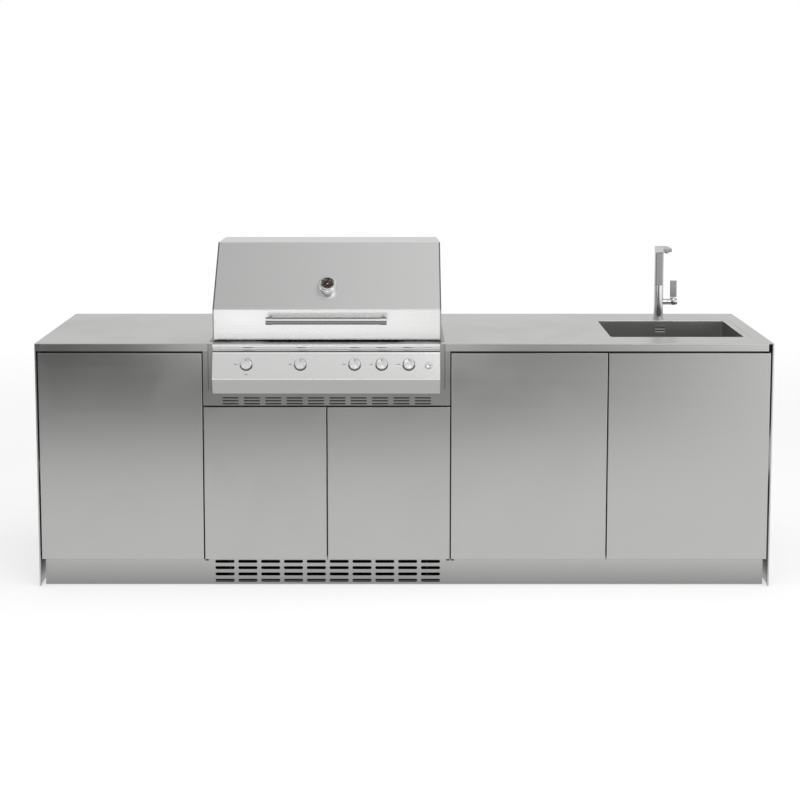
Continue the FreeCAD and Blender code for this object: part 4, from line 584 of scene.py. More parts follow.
# %% Which piece takes which finish
DOORS = ("left", "grill_left", "grill_right", "sink_left", "sink_right")
KNOBS = range(1, 6)
FINISH = {
    cabinet_steel: [f"door_{door}_pan" for door in DOORS],
    fascia_shade_steel: ["grill_fascia"],
    plinth_shade_steel: ["plinth"],
    worktop_steel: ["worktop"],
    side_steel: ["side_panel_left", "side_panel_right"],
    inner_steel: ["cabinet_floors", "back_panels", "shelf_left", "drip_tray"] +
                 [f"door_{door}_liner" for door in DOORS],
    # Frame pieces seen only through gaps take painted shade.
    gap_shade_steel: ["partition_left", "partition_right", "top_rails", "pivot_brackets"],
    hood_steel: ["hood_shell", "hood_end_caps", "hood_hinge_brackets"],
    panel_steel: ["control_panel"],
    handle_highlight_steel: ["hood_handle_bar", "hood_handle_posts", "hood_hinge_pins"],
    sink_steel: ["sink_bowl", "overflow_cover", "drain_strainer"],
    grate_steel: ["cooking_grates", "warming_rack"],
    burner_steel: ["main_burners", "flame_tamers"],
    firebox_steel: ["firebox"],
    # The igniter's ring takes the shaded edge steel: painted shade round the button.
    edge_shade_steel: ["igniter_housing"],
    chrome: ["igniter_button", "thermometer_case"] + [f"control_knob_{number}" for number in KNOBS],
    satin_tap: ["tap_spout", "tap_lever"],
    tap_chrome: ["tap_body", "tap_lever_stem"],
    brass: ["gas_valves", "tap_fixing_nut"],
    gas_pipe: ["gas_manifold"],
    black_and_shade_plastic: ["panel_bezels"],
    foot_plastic: ["levelling_feet", "magnetic_catches", "drain_trap"],
    burner_ceramic: ["rear_burner"],
    glass: ["thermometer_glass"],
    needle_red: ["thermometer_needle"],
}
for finish, names in FINISH.items():
    for name in names:
        slots = nodes[name].data.materials
        slots.clear()
        slots.append(finish)
print("dressed", sum(map(len, FINISH.values())), "of", len(nodes), "CAD pieces")

# %% [markdown]
# ## Folded sheets
# A real sheet is bent round a small radius, and that radius catches a thin line of light. The CAD pieces
# have sharp folds there. So the sheets in front are copied, their triangles joined up into whole faces,
# and the outer folds rounded with a bevel. The copy then stands for the CAD piece. Weighted normals keep
# the large faces flat to the eye, where plain smooth shading would bend the reflections across a whole
# door.

# %% Helpers for remodelled pieces
WELD = 0.00002
WELDS_PER_KEY = 5
FLAT_ANGLE = math.radians(0.5)
SMOOTH_ANGLE = math.radians(30.0)
NEAR = 0.0001


def welded_copy(name, whole_faces):
    """A copy of a CAD piece with its triangles welded, and joined up into whole faces if wanted."""
    data = nodes[name].data.copy()
    data.attributes.remove(data.attributes["custom_normal"])
    mesh = bmesh.new()
    mesh.from_mesh(data)
    bpy.data.meshes.remove(data)
    bmesh.ops.remove_doubles(mesh, verts=mesh.verts, dist=WELD)
    if whole_faces:
        bmesh.ops.dissolve_limit(mesh, angle_limit=FLAT_ANGLE, verts=mesh.verts, edges=mesh.edges)
    return mesh


def evaluated(made):
    """Turns the object's modifiers into a plain mesh."""
    graph = bpy.context.evaluated_depsgraph_get()
    data = bpy.data.meshes.new_from_object(made.evaluated_get(graph), depsgraph=graph)
    made.modifiers.clear()
    made.data = data


def key_of(place):
    return tuple(round(value / WELD / WELDS_PER_KEY) for value in place)


def corner_keys(data):
    """A key for each corner of each face: the face's middle and the corner's place, in steps of the weld."""
    for face in data.polygons:
        middle = key_of(face.center)
        for corner in face.vertices:
            yield middle, key_of(data.vertices[corner].co)


def smooth_object(name, mesh, finishes=()):
    """An object from a bmesh, smooth but for its sharp edges."""
    data = bpy.data.meshes.new(name)
    mesh.to_mesh(data)
    mesh.free()
    for finish in finishes:
        data.materials.append(finish)
    data.shade_smooth()
    data.set_sharp_from_angle(angle=SMOOTH_ANGLE)
    return linked(name, data)


def piece(name, mesh, finishes, body, stands_for=None, weighted=False, normals_of=None):
    """A piece from a bmesh that rides on a body, and may stand for a CAD piece. It is shaded smoothly, with
    weighted normals, or with the normals of a CAD piece."""
    made = smooth_object(name, mesh, finishes)
    if normals_of:
        drawn = nodes[normals_of].data
        known = {key: corner.vector.copy() for key, corner in zip(corner_keys(drawn), drawn.corner_normals)}
        made.data.normals_split_custom_set([known[key] for key in corner_keys(made.data)])
    elif weighted:
        normals = made.modifiers.new("weighted normals", "WEIGHTED_NORMAL")
        normals.keep_sharp = True
        evaluated(made)
    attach(made, body)
    if stands_for:
        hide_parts(stands_for)
    return made


def round_folds(mesh, pick, radius, segments=4):
    """Rounds the edges that the test picks, and tells how many they are."""
    edges = [edge for edge in mesh.edges if len(edge.link_faces) == 2 and pick(edge)]
    bmesh.ops.bevel(mesh, geom=edges, offset=radius, segments=segments, profile=0.5, affect="EDGES",
                    clamp_overlap=True)
    return len(edges)


def zoned_copy(name, title, body, finishes, zone=None, pick=None, radius=0.0, cuts=(), whole=False):
    """A copy that stands for a CAD piece. Pick tells which folds are rounded, and zone(centre, normal) which
    finish a face takes. A cut gives an axis and a coordinate, and splits the faces there, so that a zone can
    end in the middle of a face. A copy that only changes its finishes keeps the shading of the CAD piece."""
    remade = bool(pick or cuts or whole)
    mesh = welded_copy(name, remade)
    folds = round_folds(mesh, pick, radius) if pick else 0
    for axis, value in cuts:
        everything = mesh.verts[:] + mesh.edges[:] + mesh.faces[:]
        bmesh.ops.bisect_plane(mesh, geom=everything, plane_co=axis * value, plane_no=axis)
    mesh.normal_update()
    if zone:
        for face in mesh.faces:
            face.material_index = finishes.index(zone(face.calc_center_median(), face.normal))
    made = piece(title, mesh, finishes, body, name, weighted=True, normals_of=None if remade else name)
    print(title, "with", len(made.data.polygons), "faces and", folds, "rounded folds")
    return made


def lies_at(edge, axis, value):
    """Tells whether both ends of an edge lie at one coordinate."""
    return all(abs(vert.co[axis] - value) < NEAR for vert in edge.verts)


def is_sharp(edge, least=1.0):
    """Tells whether an edge is folded by more than some angle in radians."""
    return edge.calc_face_angle(0.0) > least


print("helpers for remodelled pieces ready")

# %% [markdown]
# The five doors are flat pans without handles, folded back all round. Their front outline gets the fold's
# radius, which draws the thin light line beside each dark gap.

# %% Doors
DOOR_FOLD = 2.4 * MM
for door in DOORS:
    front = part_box(f"door_{door}_pan")[0].y
    zoned_copy(f"door_{door}_pan", f"door_{door}_skin", f"door_{door}", [cabinet_steel],
               pick=lambda edge: lies_at(edge, 1, front) and is_sharp(edge), radius=DOOR_FOLD)

# %% [markdown]
# ## Sheets with more than one finish
# Some sheets change their finish along a fold. The hood's upright band is ground a little finer than its
# slanted face, and its steel is also brighter: a painted highlight. The grill front is painted darker below
# its lower fold, painted shade, with painted highlights on its bullnose and folds and painted shade on its
# rim and at the foot of its cove. The outer edges of the hood's end caps carry painted shade, and the sink's
# flange is brushed with the worktop that it lies in, with a painted highlight on its rounded lip. One copy of
# the piece holds all its finishes, and a small test on the place and direction of each face chooses between
# them. That keeps the sheet in one piece, as it is on the real object.

# %% Worktop, hood, grill front and sink
UPRIGHT, FACING, SLANTED = 0.97, 0.5, 0.2
TOP_FOLD = 2.0 * MM
BOWL_LIP, LIP_ANGLE = 1.8 * MM, 0.6
LIP_FLAT, LIP_ROUND = 0.95, 0.05
END_EDGE = 5.0 * MM
PANEL_FOLD, PANEL_FOLD_RADIUS, PANEL_FRONT = 787.0 * MM, 2.0 * MM, -391.1 * MM
COVE_FOOT, COVE_LINE, COVE_TOP, RIM_FRONT = 881.0 * MM, 885.5 * MM, 902.0 * MM, -365.5 * MM
COVE_START = COVE_FOOT - 2 * PANEL_FOLD_RADIUS
top_low, top_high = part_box("worktop")
bowl_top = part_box("sink_bowl")[1].z
ends_low, ends_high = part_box("hood_end_caps")


def is_top_fold(edge):
    outer = lies_at(edge, 1, top_low.y) or lies_at(edge, 0, top_low.x) or lies_at(edge, 0, top_high.x)
    return lies_at(edge, 2, top_high.z) and outer and is_sharp(edge)


def is_bowl_lip(edge):
    return lies_at(edge, 2, bowl_top) and is_sharp(edge, LIP_ANGLE)


def is_panel_fold(edge):
    return lies_at(edge, 2, PANEL_FOLD) and lies_at(edge, 1, PANEL_FRONT)


def partition_zone(centre, normal):
    """The front edge of a partition is painted near black: painted shade in the gap between two doors."""
    return gap_shade_steel if normal.y < -FACING else inner_steel


# The hood's band takes the brighter steel: a painted highlight.
def hood_zone(centre, normal):
    return hood_highlight_steel if normal.y < -UPRIGHT else hood_steel


# On the end caps the outer edges carry painted shade, and the band a painted highlight.
def end_zone(centre, normal):
    to_side = min(abs(centre.x - ends_low.x), abs(centre.x - ends_high.x))
    outer = to_side < END_EDGE and abs(normal.x) < FACING
    if normal.y < -UPRIGHT:
        return band_shade_steel if outer else hood_highlight_steel
    return edge_shade_steel if outer and normal.y < -SLANTED and normal.z > SLANTED else hood_steel


# The grill front's zones paint light and shade: painted highlight on the bullnose, at the top of the knob
# face and along the lower fold; painted shade on the rim, at the foot of the cove and on the band below the
# fold.
def panel_zone(centre, normal):
    if centre.z > COVE_TOP:
        return rim_shade_steel if centre.y > RIM_FRONT else hood_highlight_steel
    if centre.z > COVE_FOOT:
        return edge_shade_steel if centre.z < COVE_LINE else cove_steel
    if abs(centre.z - PANEL_FOLD) < PANEL_FOLD_RADIUS or centre.z > COVE_START:
        return hood_highlight_steel
    return band_shade_steel if centre.z < PANEL_FOLD else panel_steel


# The bowl's rounded lip takes a bright steel: a painted highlight along the sink's edge.
def bowl_zone(centre, normal):
    if centre.z <= bowl_top - 2 * BOWL_LIP or normal.z <= LIP_ROUND:
        return sink_steel
    return worktop_steel if normal.z > LIP_FLAT else handle_highlight_steel


for side in ("left", "right"):
    zoned_copy(f"partition_{side}", f"partition_{side}_sheet", "cabinet",
               [inner_steel, gap_shade_steel], partition_zone)
zoned_copy("worktop", "worktop_sheet", "cabinet", [worktop_steel],
           pick=is_top_fold, radius=TOP_FOLD)
zoned_copy("hood_shell", "hood_sheet", "hood", [hood_steel, hood_highlight_steel], hood_zone,
           whole=True)
zoned_copy("hood_end_caps", "hood_ends", "hood",
           [hood_steel, hood_highlight_steel, edge_shade_steel, band_shade_steel], end_zone,
           cuts=[(X_AXIS, ends_low.x + END_EDGE), (X_AXIS, ends_high.x - END_EDGE)])
grill_front = zoned_copy("control_panel", "grill_front", "cabinet",
                         [panel_steel, band_shade_steel, rim_shade_steel, hood_highlight_steel, cove_steel, edge_shade_steel],
                         panel_zone, is_panel_fold, PANEL_FOLD_RADIUS, [(Z_AXIS, COVE_START)])
zoned_copy("sink_bowl", "sink", "cabinet", [sink_steel, worktop_steel, handle_highlight_steel], bowl_zone,
           is_bowl_lip, BOWL_LIP)

# %% [markdown]
# The handle is a round bar between two posts. Its light is painted: a bright steel is a painted highlight on
# its upper front, its back and its ends, and a dark steel is painted shade on its crown and its underside.
# The change between them draws the bright line along it.

# %% Handle
HIGHLIGHT_FROM, HIGHLIGHT_TO = 0.17, 0.77
BACK, END = 0.4, 0.7


def handle_zone(centre, normal):
    in_painted_highlight = HIGHLIGHT_FROM < normal.z < HIGHLIGHT_TO
    return handle_shade_steel if normal.y < BACK and abs(normal.x) < END and not in_painted_highlight else handle_highlight_steel


for part in ("bar", "posts"):
    zoned_copy(f"hood_handle_{part}", f"handle_{part}", "hood",
               [handle_highlight_steel, handle_shade_steel], handle_zone)

# %% [markdown]
# ## Turned pieces
# A metal face that was cut on a lathe carries fine rings, and the light on it opens into bright fans. The
# shader gets both from noise on a polar UV map, with the angle in U and the way along the profile in V: the
# rings are the grain of the cut, and the fans are painted highlight in the colour. Its tangent follows U, so
# the highlight stretches across the rings.

# %% Spun metal
TURNED_UV = "turned"
FAN_COUNT, FAN_EDGE, FAN_SHADE = 9.0, (0.75, 1.25), 0.72
RING_GLOSS, RING_DULL = 0.05, 0.09
GROOVE_DEPTH, GROOVE_STRENGTH = 0.0002, 0.05


def spun_metal(name, color, roughness, ring_count):
    """Metal faced on a lathe: fine rings, with the highlight stretched across them, and fans of painted
    highlight in its colour.
    """
    made, tree, shader, place = start_material(name, {"Metallic": 1.0, "Anisotropic": 0.85}, "UV")
    split = axis_parts(tree, place)
    pitch = math_of(tree, "MULTIPLY", (split, "Y"), ring_count)
    rings = add(tree, "ShaderNodeTexNoise", {"W": pitch, "Scale": 1.0, "Detail": 3.0, "Roughness": 0.6},
                noise_dimensions="1D"), "Fac"
    spokes = math_of(tree, "MULTIPLY", (split, "X"), FAN_COUNT)
    lined = add(tree, "ShaderNodeCombineXYZ", {"X": spokes, "Y": (split, "Y")}), "Vector"
    painted_fans = add(tree, "ShaderNodeTexNoise", {"Vector": lined, "Scale": 1.0, "Detail": 2.0, "Roughness": 0.5},
               noise_dimensions="2D"), "Fac"
    rings_and_painted_fans = remap(tree, math_of(tree, "ADD", painted_fans, rings), *FAN_EDGE)
    darker = tuple(part * FAN_SHADE for part in color)
    grooves = add(tree, "ShaderNodeBump", {"Strength": GROOVE_STRENGTH, "Distance": GROOVE_DEPTH,
                                           "Height": rings})
    tangent = add(tree, "ShaderNodeTangent", direction_type="UV_MAP", uv_map=TURNED_UV)
    feed(shader, {"Base Color": mixed(tree, rings_and_painted_fans, (*darker, 1.0), (*color, 1.0)),
                  "Roughness": remap(tree, rings, low=roughness - RING_GLOSS, high=roughness + RING_DULL),
                  "Normal": (grooves, "Normal"), "Tangent": (tangent, "Tangent")})
    return made


spun_steel = spun_metal("spun steel", (0.97, 0.97, 0.965), 0.20, 9000.0)
print("finish:", spun_steel.name)

# %% [markdown]
# Knobs, buttons and dials are turned on a lathe, and a lathe is easy to imitate: a profile of radius and
# height goes once round an axis. The joint in the record gives the axis, so a knob stands exactly where
# it turns. Small blocks with rounded edges do for marks, ticks and lips.

# %% Lathe
Row = namedtuple("Row", "radius height finish flutes", defaults=(0, 0.0))
JOINTS = {joint["name"]: joint for joint in frame["joints"]}


def rows_from(radius, height, steps, *more):
    """Rows of a profile, each given as a step outwards and upwards from one radius and height."""
    return [Row(radius + out, height + rise, *more) for out, rise in steps]


def turned(mesh, origin, axis, rows, steps, flute_count=0):
    """Turns rows of a profile in millimetres round an axis. Flutes is the depth of a row's grooves."""
    up = Z_AXIS - axis * axis.z
    up = up.normalized() if up.length > NEAR else Y_AXIS
    across = axis.cross(up)
    uv = mesh.loops.layers.uv.get(TURNED_UV) or mesh.loops.layers.uv.new(TURNED_UV)
    rings = []
    for row in rows:
        ring = []
        for step in range(steps if row.radius > 0 else 1):
            angle = 2 * math.pi * step / steps
            reach = row.radius - row.flutes * (0.5 + 0.5 * math.cos(flute_count * angle))
            spoke = up * math.cos(angle) + across * math.sin(angle)
            ring.append(mesh.verts.new(origin + axis * row.height * MM + spoke * reach * MM))
        rings.append(ring)
    made = []
    way = 0.0
    for first, second, low, high in zip(rows, rows[1:], rings, rings[1:]):
        after = way + math.hypot(second.radius - first.radius, second.height - first.height) * MM
        for step in range(steps):
            corners = [(low, step, way), (low, step + 1, way), (high, step + 1, after), (high, step, after)]
            kept = [(ring[index % len(ring)], index, along) for ring, index, along in corners]
            if len(low) == 1:
                kept.pop(0)
            if len(high) == 1:
                kept.pop()
            face = mesh.faces.new([vert for vert, index, along in kept])
            face.material_index = second.finish
            for loop, (vert, index, along) in zip(face.loops, kept):
                loop[uv].uv = (index / steps, along)
            made.append(face)
        way = after
    bmesh.ops.recalc_face_normals(mesh, faces=made)
    return up, across


def lathe(origin, axis, rows, steps=96):
    """A new bmesh with one turned profile."""
    mesh = bmesh.new()
    turned(mesh, origin, axis, rows, steps)
    return mesh


def bar(mesh, centre, sides, size, fold, finish=0):
    """Adds a small block with rounded edges, along three directions, with its size in millimetres."""
    block = bmesh.new()
    bmesh.ops.create_cube(block, size=1.0)
    bmesh.ops.scale(block, vec=Vector(size) * MM, verts=block.verts)
    bmesh.ops.bevel(block, geom=block.edges[:], offset=fold * MM, segments=2, profile=0.5, affect="EDGES")
    turn = Matrix(sides).transposed().to_4x4()
    bmesh.ops.transform(block, matrix=Matrix.Translation(centre) @ turn, verts=block.verts)
    copied = {vert: mesh.verts.new(vert.co) for vert in block.verts}
    faces = [mesh.faces.new([copied[vert] for vert in face.verts]) for face in block.faces]
    for face in faces:
        face.material_index = finish
    bmesh.ops.recalc_face_normals(mesh, faces=faces)
    block.free()


def joint_line(name):
    """The place and the direction of a joint."""
    return Vector(JOINTS[name]["pos_m"]), Vector(JOINTS[name]["axis"]).normalized()


def reach_of(node, origin, axis):
    """How far a CAD piece reaches along an axis, from and to, in millimetres."""
    along = [(vert.co - origin).dot(axis) / MM for vert in nodes[node].data.vertices]
    return min(along), max(along)


print("joints by name:", len(JOINTS))

# %% [markdown]
# A grill knob is turned from bar: a skirt, a slightly conical grip with fine flutes for wet hands, and a
# dished face. The mark near its top edge shows where it points. Its stem runs into the valve behind the
# panel.

# %% Knobs
KNOB_HEIGHT, KNOB_RADIUS, KNOB_FACE = 22.4, 21.5, 18.5
STEM_RADIUS = 4.0
SKIRT = ((-0.6, 0.0), (0.0, 0.6), (0.0, 3.4), (-0.5, 4.0), (-1.3, 4.4))
GRIP, NECK = ((1.5, -17.2), (0.6, -3.4)), ((0.4, -2.6),)
FACE = ((0.0, -0.7), (-0.7, 0.0), (-1.6, 0.0), (-2.0, -0.4), (-KNOB_FACE / 2, -0.75), (-KNOB_FACE, -0.9))
FLUTES, FLUTE_DEPTH, STEPS_PER_FLUTE = 40, 0.35, 5
KNOB_MARK, MARK_INSET, MARK_SINK, MARK_FOLD = (2.2, 5.4, 0.9), 5.6, 0.5, 0.3
knob_finishes = [knob_dark, spun_steel, ink_and_shade_black, chrome]
SPUN, INK, CHROME = 1, 2, 3
for number in KNOBS:
    knob = f"control_knob_{number}"
    origin, axis = joint_line(f"knob_{number}_turn")
    tail, tip = reach_of(knob, origin, axis)
    foot = tip - KNOB_HEIGHT
    profile = [Row(0, tail), Row(STEM_RADIUS, tail), Row(STEM_RADIUS, foot)]
    profile += rows_from(KNOB_RADIUS, foot, SKIRT)
    profile += rows_from(KNOB_FACE, tip, GRIP, CHROME, FLUTE_DEPTH) + rows_from(KNOB_FACE, tip, NECK, CHROME)
    profile += rows_from(KNOB_FACE, tip, FACE, SPUN)
    mesh = bmesh.new()
    up, across = turned(mesh, origin, axis, profile, FLUTES * STEPS_PER_FLUTE, FLUTES)
    mark = origin + axis * (tip - MARK_SINK) * MM + up * (KNOB_FACE - MARK_INSET) * MM
    bar(mesh, mark, (across, up, axis), KNOB_MARK, MARK_FOLD, INK)
    piece(f"knob_{number}", mesh, knob_finishes, knob, knob)
print("knobs of", 2 * KNOB_RADIUS, "mm with", FLUTES, "flutes:", len(KNOBS))

# %% [markdown]
# Each knob turns over a flat ring on the panel. The ring is steel, and its part below the knob is painted
# black: painted shade under the knob.

# %% Rings round the knobs
SHADE_TOP = -3.0 * MM
RING_REACH = 1.3 * KNOB_RADIUS * MM
knob_places = [joint_line(f"knob_{number}_turn")[0] for number in KNOBS]


def ring_zone(centre, normal):
    nearest = min(knob_places, key=lambda place: (place - centre).length)
    in_painted_shade = (nearest - centre).length < RING_REACH and centre.z - nearest.z < SHADE_TOP
    return black_and_shade_plastic if in_painted_shade else panel_steel


zoned_copy("panel_bezels", "knob_rings", "cabinet", [panel_steel, black_and_shade_plastic], ring_zone)

# %% [markdown]
# The igniter is a push button in a ring. Its face is dished for a fingertip, and the dish gathers a spot
# of light and a dark crescent, where a flat face would only repeat the panel's grey. It slides along its
# joint.

# %% Igniter button
DISH_DEPTH, DISH_SHARE, DISH_STEPS = 2.6, 0.84, 8
BUTTON_EDGE, DISH_EDGE = ((0, -1.2), (-0.3, -0.4)), ((0.4, 0), (0, -0.1))
press_way = -Vector(JOINTS["igniter_press"]["axis"]).normalized()
button_low, button_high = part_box("igniter_button")
button_middle = (button_low + button_high) / 2
button_radius = (button_high.x - button_low.x) / 2 / MM
tail, tip = reach_of("igniter_button", button_middle, press_way)
rim = button_radius * DISH_SHARE
profile = [Row(0, tail), Row(button_radius, tail)]
profile += rows_from(button_radius, tip, BUTTON_EDGE) + rows_from(rim, tip, DISH_EDGE)
for step in range(1, DISH_STEPS):
    angle = math.pi / 2 * step / DISH_STEPS
    profile.append(Row(rim * math.cos(angle), tip - DISH_DEPTH * math.sin(angle)))
profile.append(Row(0, tip - DISH_DEPTH))
piece("igniter_push", lathe(button_middle, press_way, profile), [chrome], "igniter_button",
      "igniter_button")
print("button of", round(2 * button_radius, 1), "mm, from", round(tail, 1), "to", round(tip, 1), "mm")

# %% [markdown]
# The thermometer sits in the slanted face of the hood. Its dial is a dark disc behind glass, with a ring
# of ticks. The needle's joint gives the middle and the direction of the dial, and the needle's own reach
# gives its depth.

# %% Dial
DIAL_RADIUS, DIAL_GAP, DIAL_PLATE = 25.0, 0.5, 0.8
RIM, GROOVE = ((0, 0), (-3.6, 0)), ((-4.0, -0.2), (-9.0, -0.2), (-9.4, 0))
BOSS_RADIUS, BOSS = 4.0, ((0, 0.15), (-4.0, 0.15))
BOSS_FOOT = 0.2
GREY = 1
needle_origin, needle_axis = joint_line("needle_turn")
dial_axis = -needle_axis
dial_face = reach_of("thermometer_needle", needle_origin, dial_axis)[0] - DIAL_GAP
profile = [Row(0, dial_face - DIAL_PLATE), Row(DIAL_RADIUS, dial_face - DIAL_PLATE)]
profile += rows_from(DIAL_RADIUS, dial_face, RIM) + rows_from(DIAL_RADIUS, dial_face, GROOVE, GREY)
profile += [Row(BOSS_RADIUS + BOSS_FOOT, dial_face)] + rows_from(BOSS_RADIUS, dial_face, BOSS, GREY)
piece("thermometer_dial", lathe(needle_origin, dial_axis, profile), [dial_black, dial_grey], "hood")
print("dial of", 2 * DIAL_RADIUS, "mm at", round(dial_face, 1), "mm")

# %% [markdown]
# At its left end the worktop's apron is closed by a short return that fills the corner beside the side
# panel.

# %% Apron return
RETURN_SIZE, RETURN_FOLD = (17.0, 5.0, 25.0), 0.8
RETURN_PLACE = Vector((10.2, 2.6, -14.6)) * MM
mesh = bmesh.new()
bar(mesh, Vector((top_low.x, top_low.y, top_high.z)) + RETURN_PLACE, AXES, RETURN_SIZE, RETURN_FOLD)
piece("apron_return", mesh, [cabinet_steel], "cabinet", weighted=True)
print("apron return of", RETURN_SIZE, "mm")

# %% [markdown]
# ## Things that repeat
# Ticks, screws, burner slots and the holes of the burner tile are all the same idea: one small pattern on
# many spots. A geometry group does it once for all of them. Each spot is a vertex with two attributes:
# the direction that the pattern faces and the direction that it runs along. The group turns the pattern
# to suit, makes the copies real and gives them a finish. The result is kept as a plain mesh on the body
# that it rides on.

# %% Group: pattern on spots
def pattern_group():
    tree = bpy.data.node_groups.new("Pattern On Spots", "GeometryNodeTree")
    for label, kind in (("Spots", "Geometry"), ("Pattern", "Object"), ("Finish", "Material")):
        tree.interface.new_socket(label, in_out="INPUT", socket_type=f"NodeSocket{kind}")
    tree.interface.new_socket("Geometry", in_out="OUTPUT", socket_type="NodeSocketGeometry")
    start, end = tree.nodes.new("NodeGroupInput"), tree.nodes.new("NodeGroupOutput")
    facing, along = [(add(tree, "GeometryNodeInputNamedAttribute", {"Name": label}, data_type="FLOAT_VECTOR"),
                      "Attribute") for label in ("facing", "along")]
    turn = add(tree, "FunctionNodeAxesToRotation", {0: facing, 1: along}, primary_axis="Z",
               secondary_axis="Y")
    pattern = add(tree, "GeometryNodeObjectInfo", {"Object": (start, "Pattern"), "As Instance": True},
                  transform_space="ORIGINAL")
    placed = add(tree, "GeometryNodeInstanceOnPoints", {
        "Points": (start, "Spots"), "Instance": (pattern, "Geometry"), "Rotation": (turn, "Rotation")})
    real = add(tree, "GeometryNodeRealizeInstances", {"Geometry": (placed, "Instances")})
    painted = add(tree, "GeometryNodeSetMaterial", {
        "Geometry": (real, "Geometry"), "Material": (start, "Finish")})
    feed(end, {"Geometry": (painted, "Geometry")})
    return tree


PATTERN_ON_SPOTS = pattern_group()
SOCKETS = {item.name: item.identifier for item in PATTERN_ON_SPOTS.interface.items_tree
           if item.in_out == "INPUT"}
Spot = namedtuple("Spot", "place facing along")


def repeated(name, mesh, spots, finish, body):
    """One mesh of a small pattern, given as a bmesh, on many spots."""
    pattern = smooth_object(name + "_pattern", mesh)
    data = bpy.data.meshes.new(name)
    data.from_pydata([spot.place for spot in spots], [], [])
    for label in ("facing", "along"):
        values = [value for spot in spots for value in getattr(spot, label)]
        data.attributes.new(label, "FLOAT_VECTOR", "POINT").data.foreach_set("vector", values)
    made = linked(name, data)
    copies = made.modifiers.new("pattern on spots", "NODES")
    copies.node_group = PATTERN_ON_SPOTS
    copies[SOCKETS["Pattern"]] = pattern
    copies[SOCKETS["Finish"]] = finish
    evaluated(made)
    bpy.data.objects.remove(pattern)
    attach(made, body)
    print(name, "on", len(spots), "spots:", len(made.data.polygons), "faces")


def block(size, fold):
    """A bmesh of one small block on the origin."""
    mesh = bmesh.new()
    bar(mesh, Vector(), AXES, size, fold)
    return mesh


def spread(first, last, count):
    """Evenly spaced values from the first to the last."""
    return [first + (last - first) * step / (count - 1) for step in range(count)]


print("group:", PATTERN_ON_SPOTS.name)

# %% [markdown]
# The dial's ticks run through the needle's whole travel, from where the needle rests. Every fourth is
# longer.

# %% Dial ticks
TICK_COUNT, TICK_BEAT, TICK_FOLD = 21, 4, 0.1
TICKS = {"long": ((1.1, 5.0, 0.3), 3.4), "short": ((0.7, 2.6, 0.3), 2.4)}
needle_turn = math.radians(JOINTS["needle_turn"]["range_deg"][1])


def off_axis(way):
    """What is left of a way from the dial's middle without its part along the axis."""
    return way - dial_axis * way.dot(dial_axis)


needle_ways = [off_axis(vert.co - needle_origin) for vert in nodes["thermometer_needle"].data.vertices]
needle_rest = max(needle_ways, key=lambda way: way.length).normalized()
for kind, (size, inset) in TICKS.items():
    spots = []
    for step in range(TICK_COUNT):
        if (step % TICK_BEAT == 0) == (kind == "long"):
            spoke = Matrix.Rotation(needle_turn * step / (TICK_COUNT - 1), 3, needle_axis) @ needle_rest
            place = needle_origin + (spoke * (DIAL_RADIUS - inset) + dial_axis * dial_face) * MM
            spots.append(Spot(place, dial_axis, spoke))
    repeated(f"dial_ticks_{kind}", block(size, TICK_FOLD), spots, dial_white, "hood")

# %% [markdown]
# Beside each knob the panel carries one short etched tick, where the knob's mark points when the gas is
# full on. The first knob also has one below. A ray from in front finds the height of the panel there.

# %% Ticks on the panel
TICK_REACH, RAY_START = 38.0, 100.0
ETCHED_SIZE, ETCHED_FOLD = (2.0, 12.0, 0.16), 0.06
spots = []
bpy.context.view_layer.update()
for number in KNOBS:
    origin, axis = joint_line(f"knob_{number}_turn")
    for way in (-X_AXIS, X_AXIS.cross(axis)) if number == KNOBS[0] else (-X_AXIS,):
        start = origin + (axis * RAY_START + way * TICK_REACH) * MM
        hit, place, normal, face = grill_front.ray_cast(start, -axis)
        if hit:
            spots.append(Spot(place, normal, X_AXIS))
repeated("panel_ticks", block(ETCHED_SIZE, ETCHED_FOLD), spots, etch_grey, "cabinet")

# %% [markdown]
# Behind, the three back panels are screwed to the carcass. A screw is turned like a knob: a washer, a
# domed head and a socket for the key.

# %% Screws on the back panels
SCREW_INSET, SCREW_TOP_INSET = 14.0 * MM, 30.8 * MM
SCREW_ROWS, SCREW_COLUMNS = 4, 5
SCREW = ((0, -1.0), (5.0, -1.0), (5.0, 0.3), (4.7, 0.6), (3.7, 0.6), (3.6, 1.3), (3.0, 2.0), (2.0, 2.3),
         (1.7, 2.2), (1.5, 0.9), (0, 0.8))
SCREW_STEPS = 18
back_low, back_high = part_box("back_panels")
partitions = [sum(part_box(f"partition_{side}"), Vector()) / 2 for side in ("left", "right")]
cabinet_edges = [back_low.x] + [middle.x for middle in partitions] + [back_high.x]
spots = []
for left, right in zip(cabinet_edges, cabinet_edges[1:]):
    for column, x in enumerate(spread(left + SCREW_INSET, right - SCREW_INSET, SCREW_COLUMNS)):
        for row, z in enumerate(spread(back_low.z + SCREW_INSET, back_high.z - SCREW_TOP_INSET, SCREW_ROWS)):
            if column in (0, SCREW_COLUMNS - 1) or row in (0, SCREW_ROWS - 1):
                spots.append(Spot(Vector((x, back_high.y, z)), Y_AXIS, Z_AXIS))
screw = lathe(Vector(), Z_AXIS, [Row(*row) for row in SCREW], SCREW_STEPS)
repeated("back_screws", screw, spots, screw_steel, "cabinet")

# %% [markdown]
# The tube burners have two rows of slots along their crown, under the flame tamers. The infrared burner at
# the back glows through a ceramic tile full of small holes. The slots and the holes are black marks: painted
# shade for the openings.

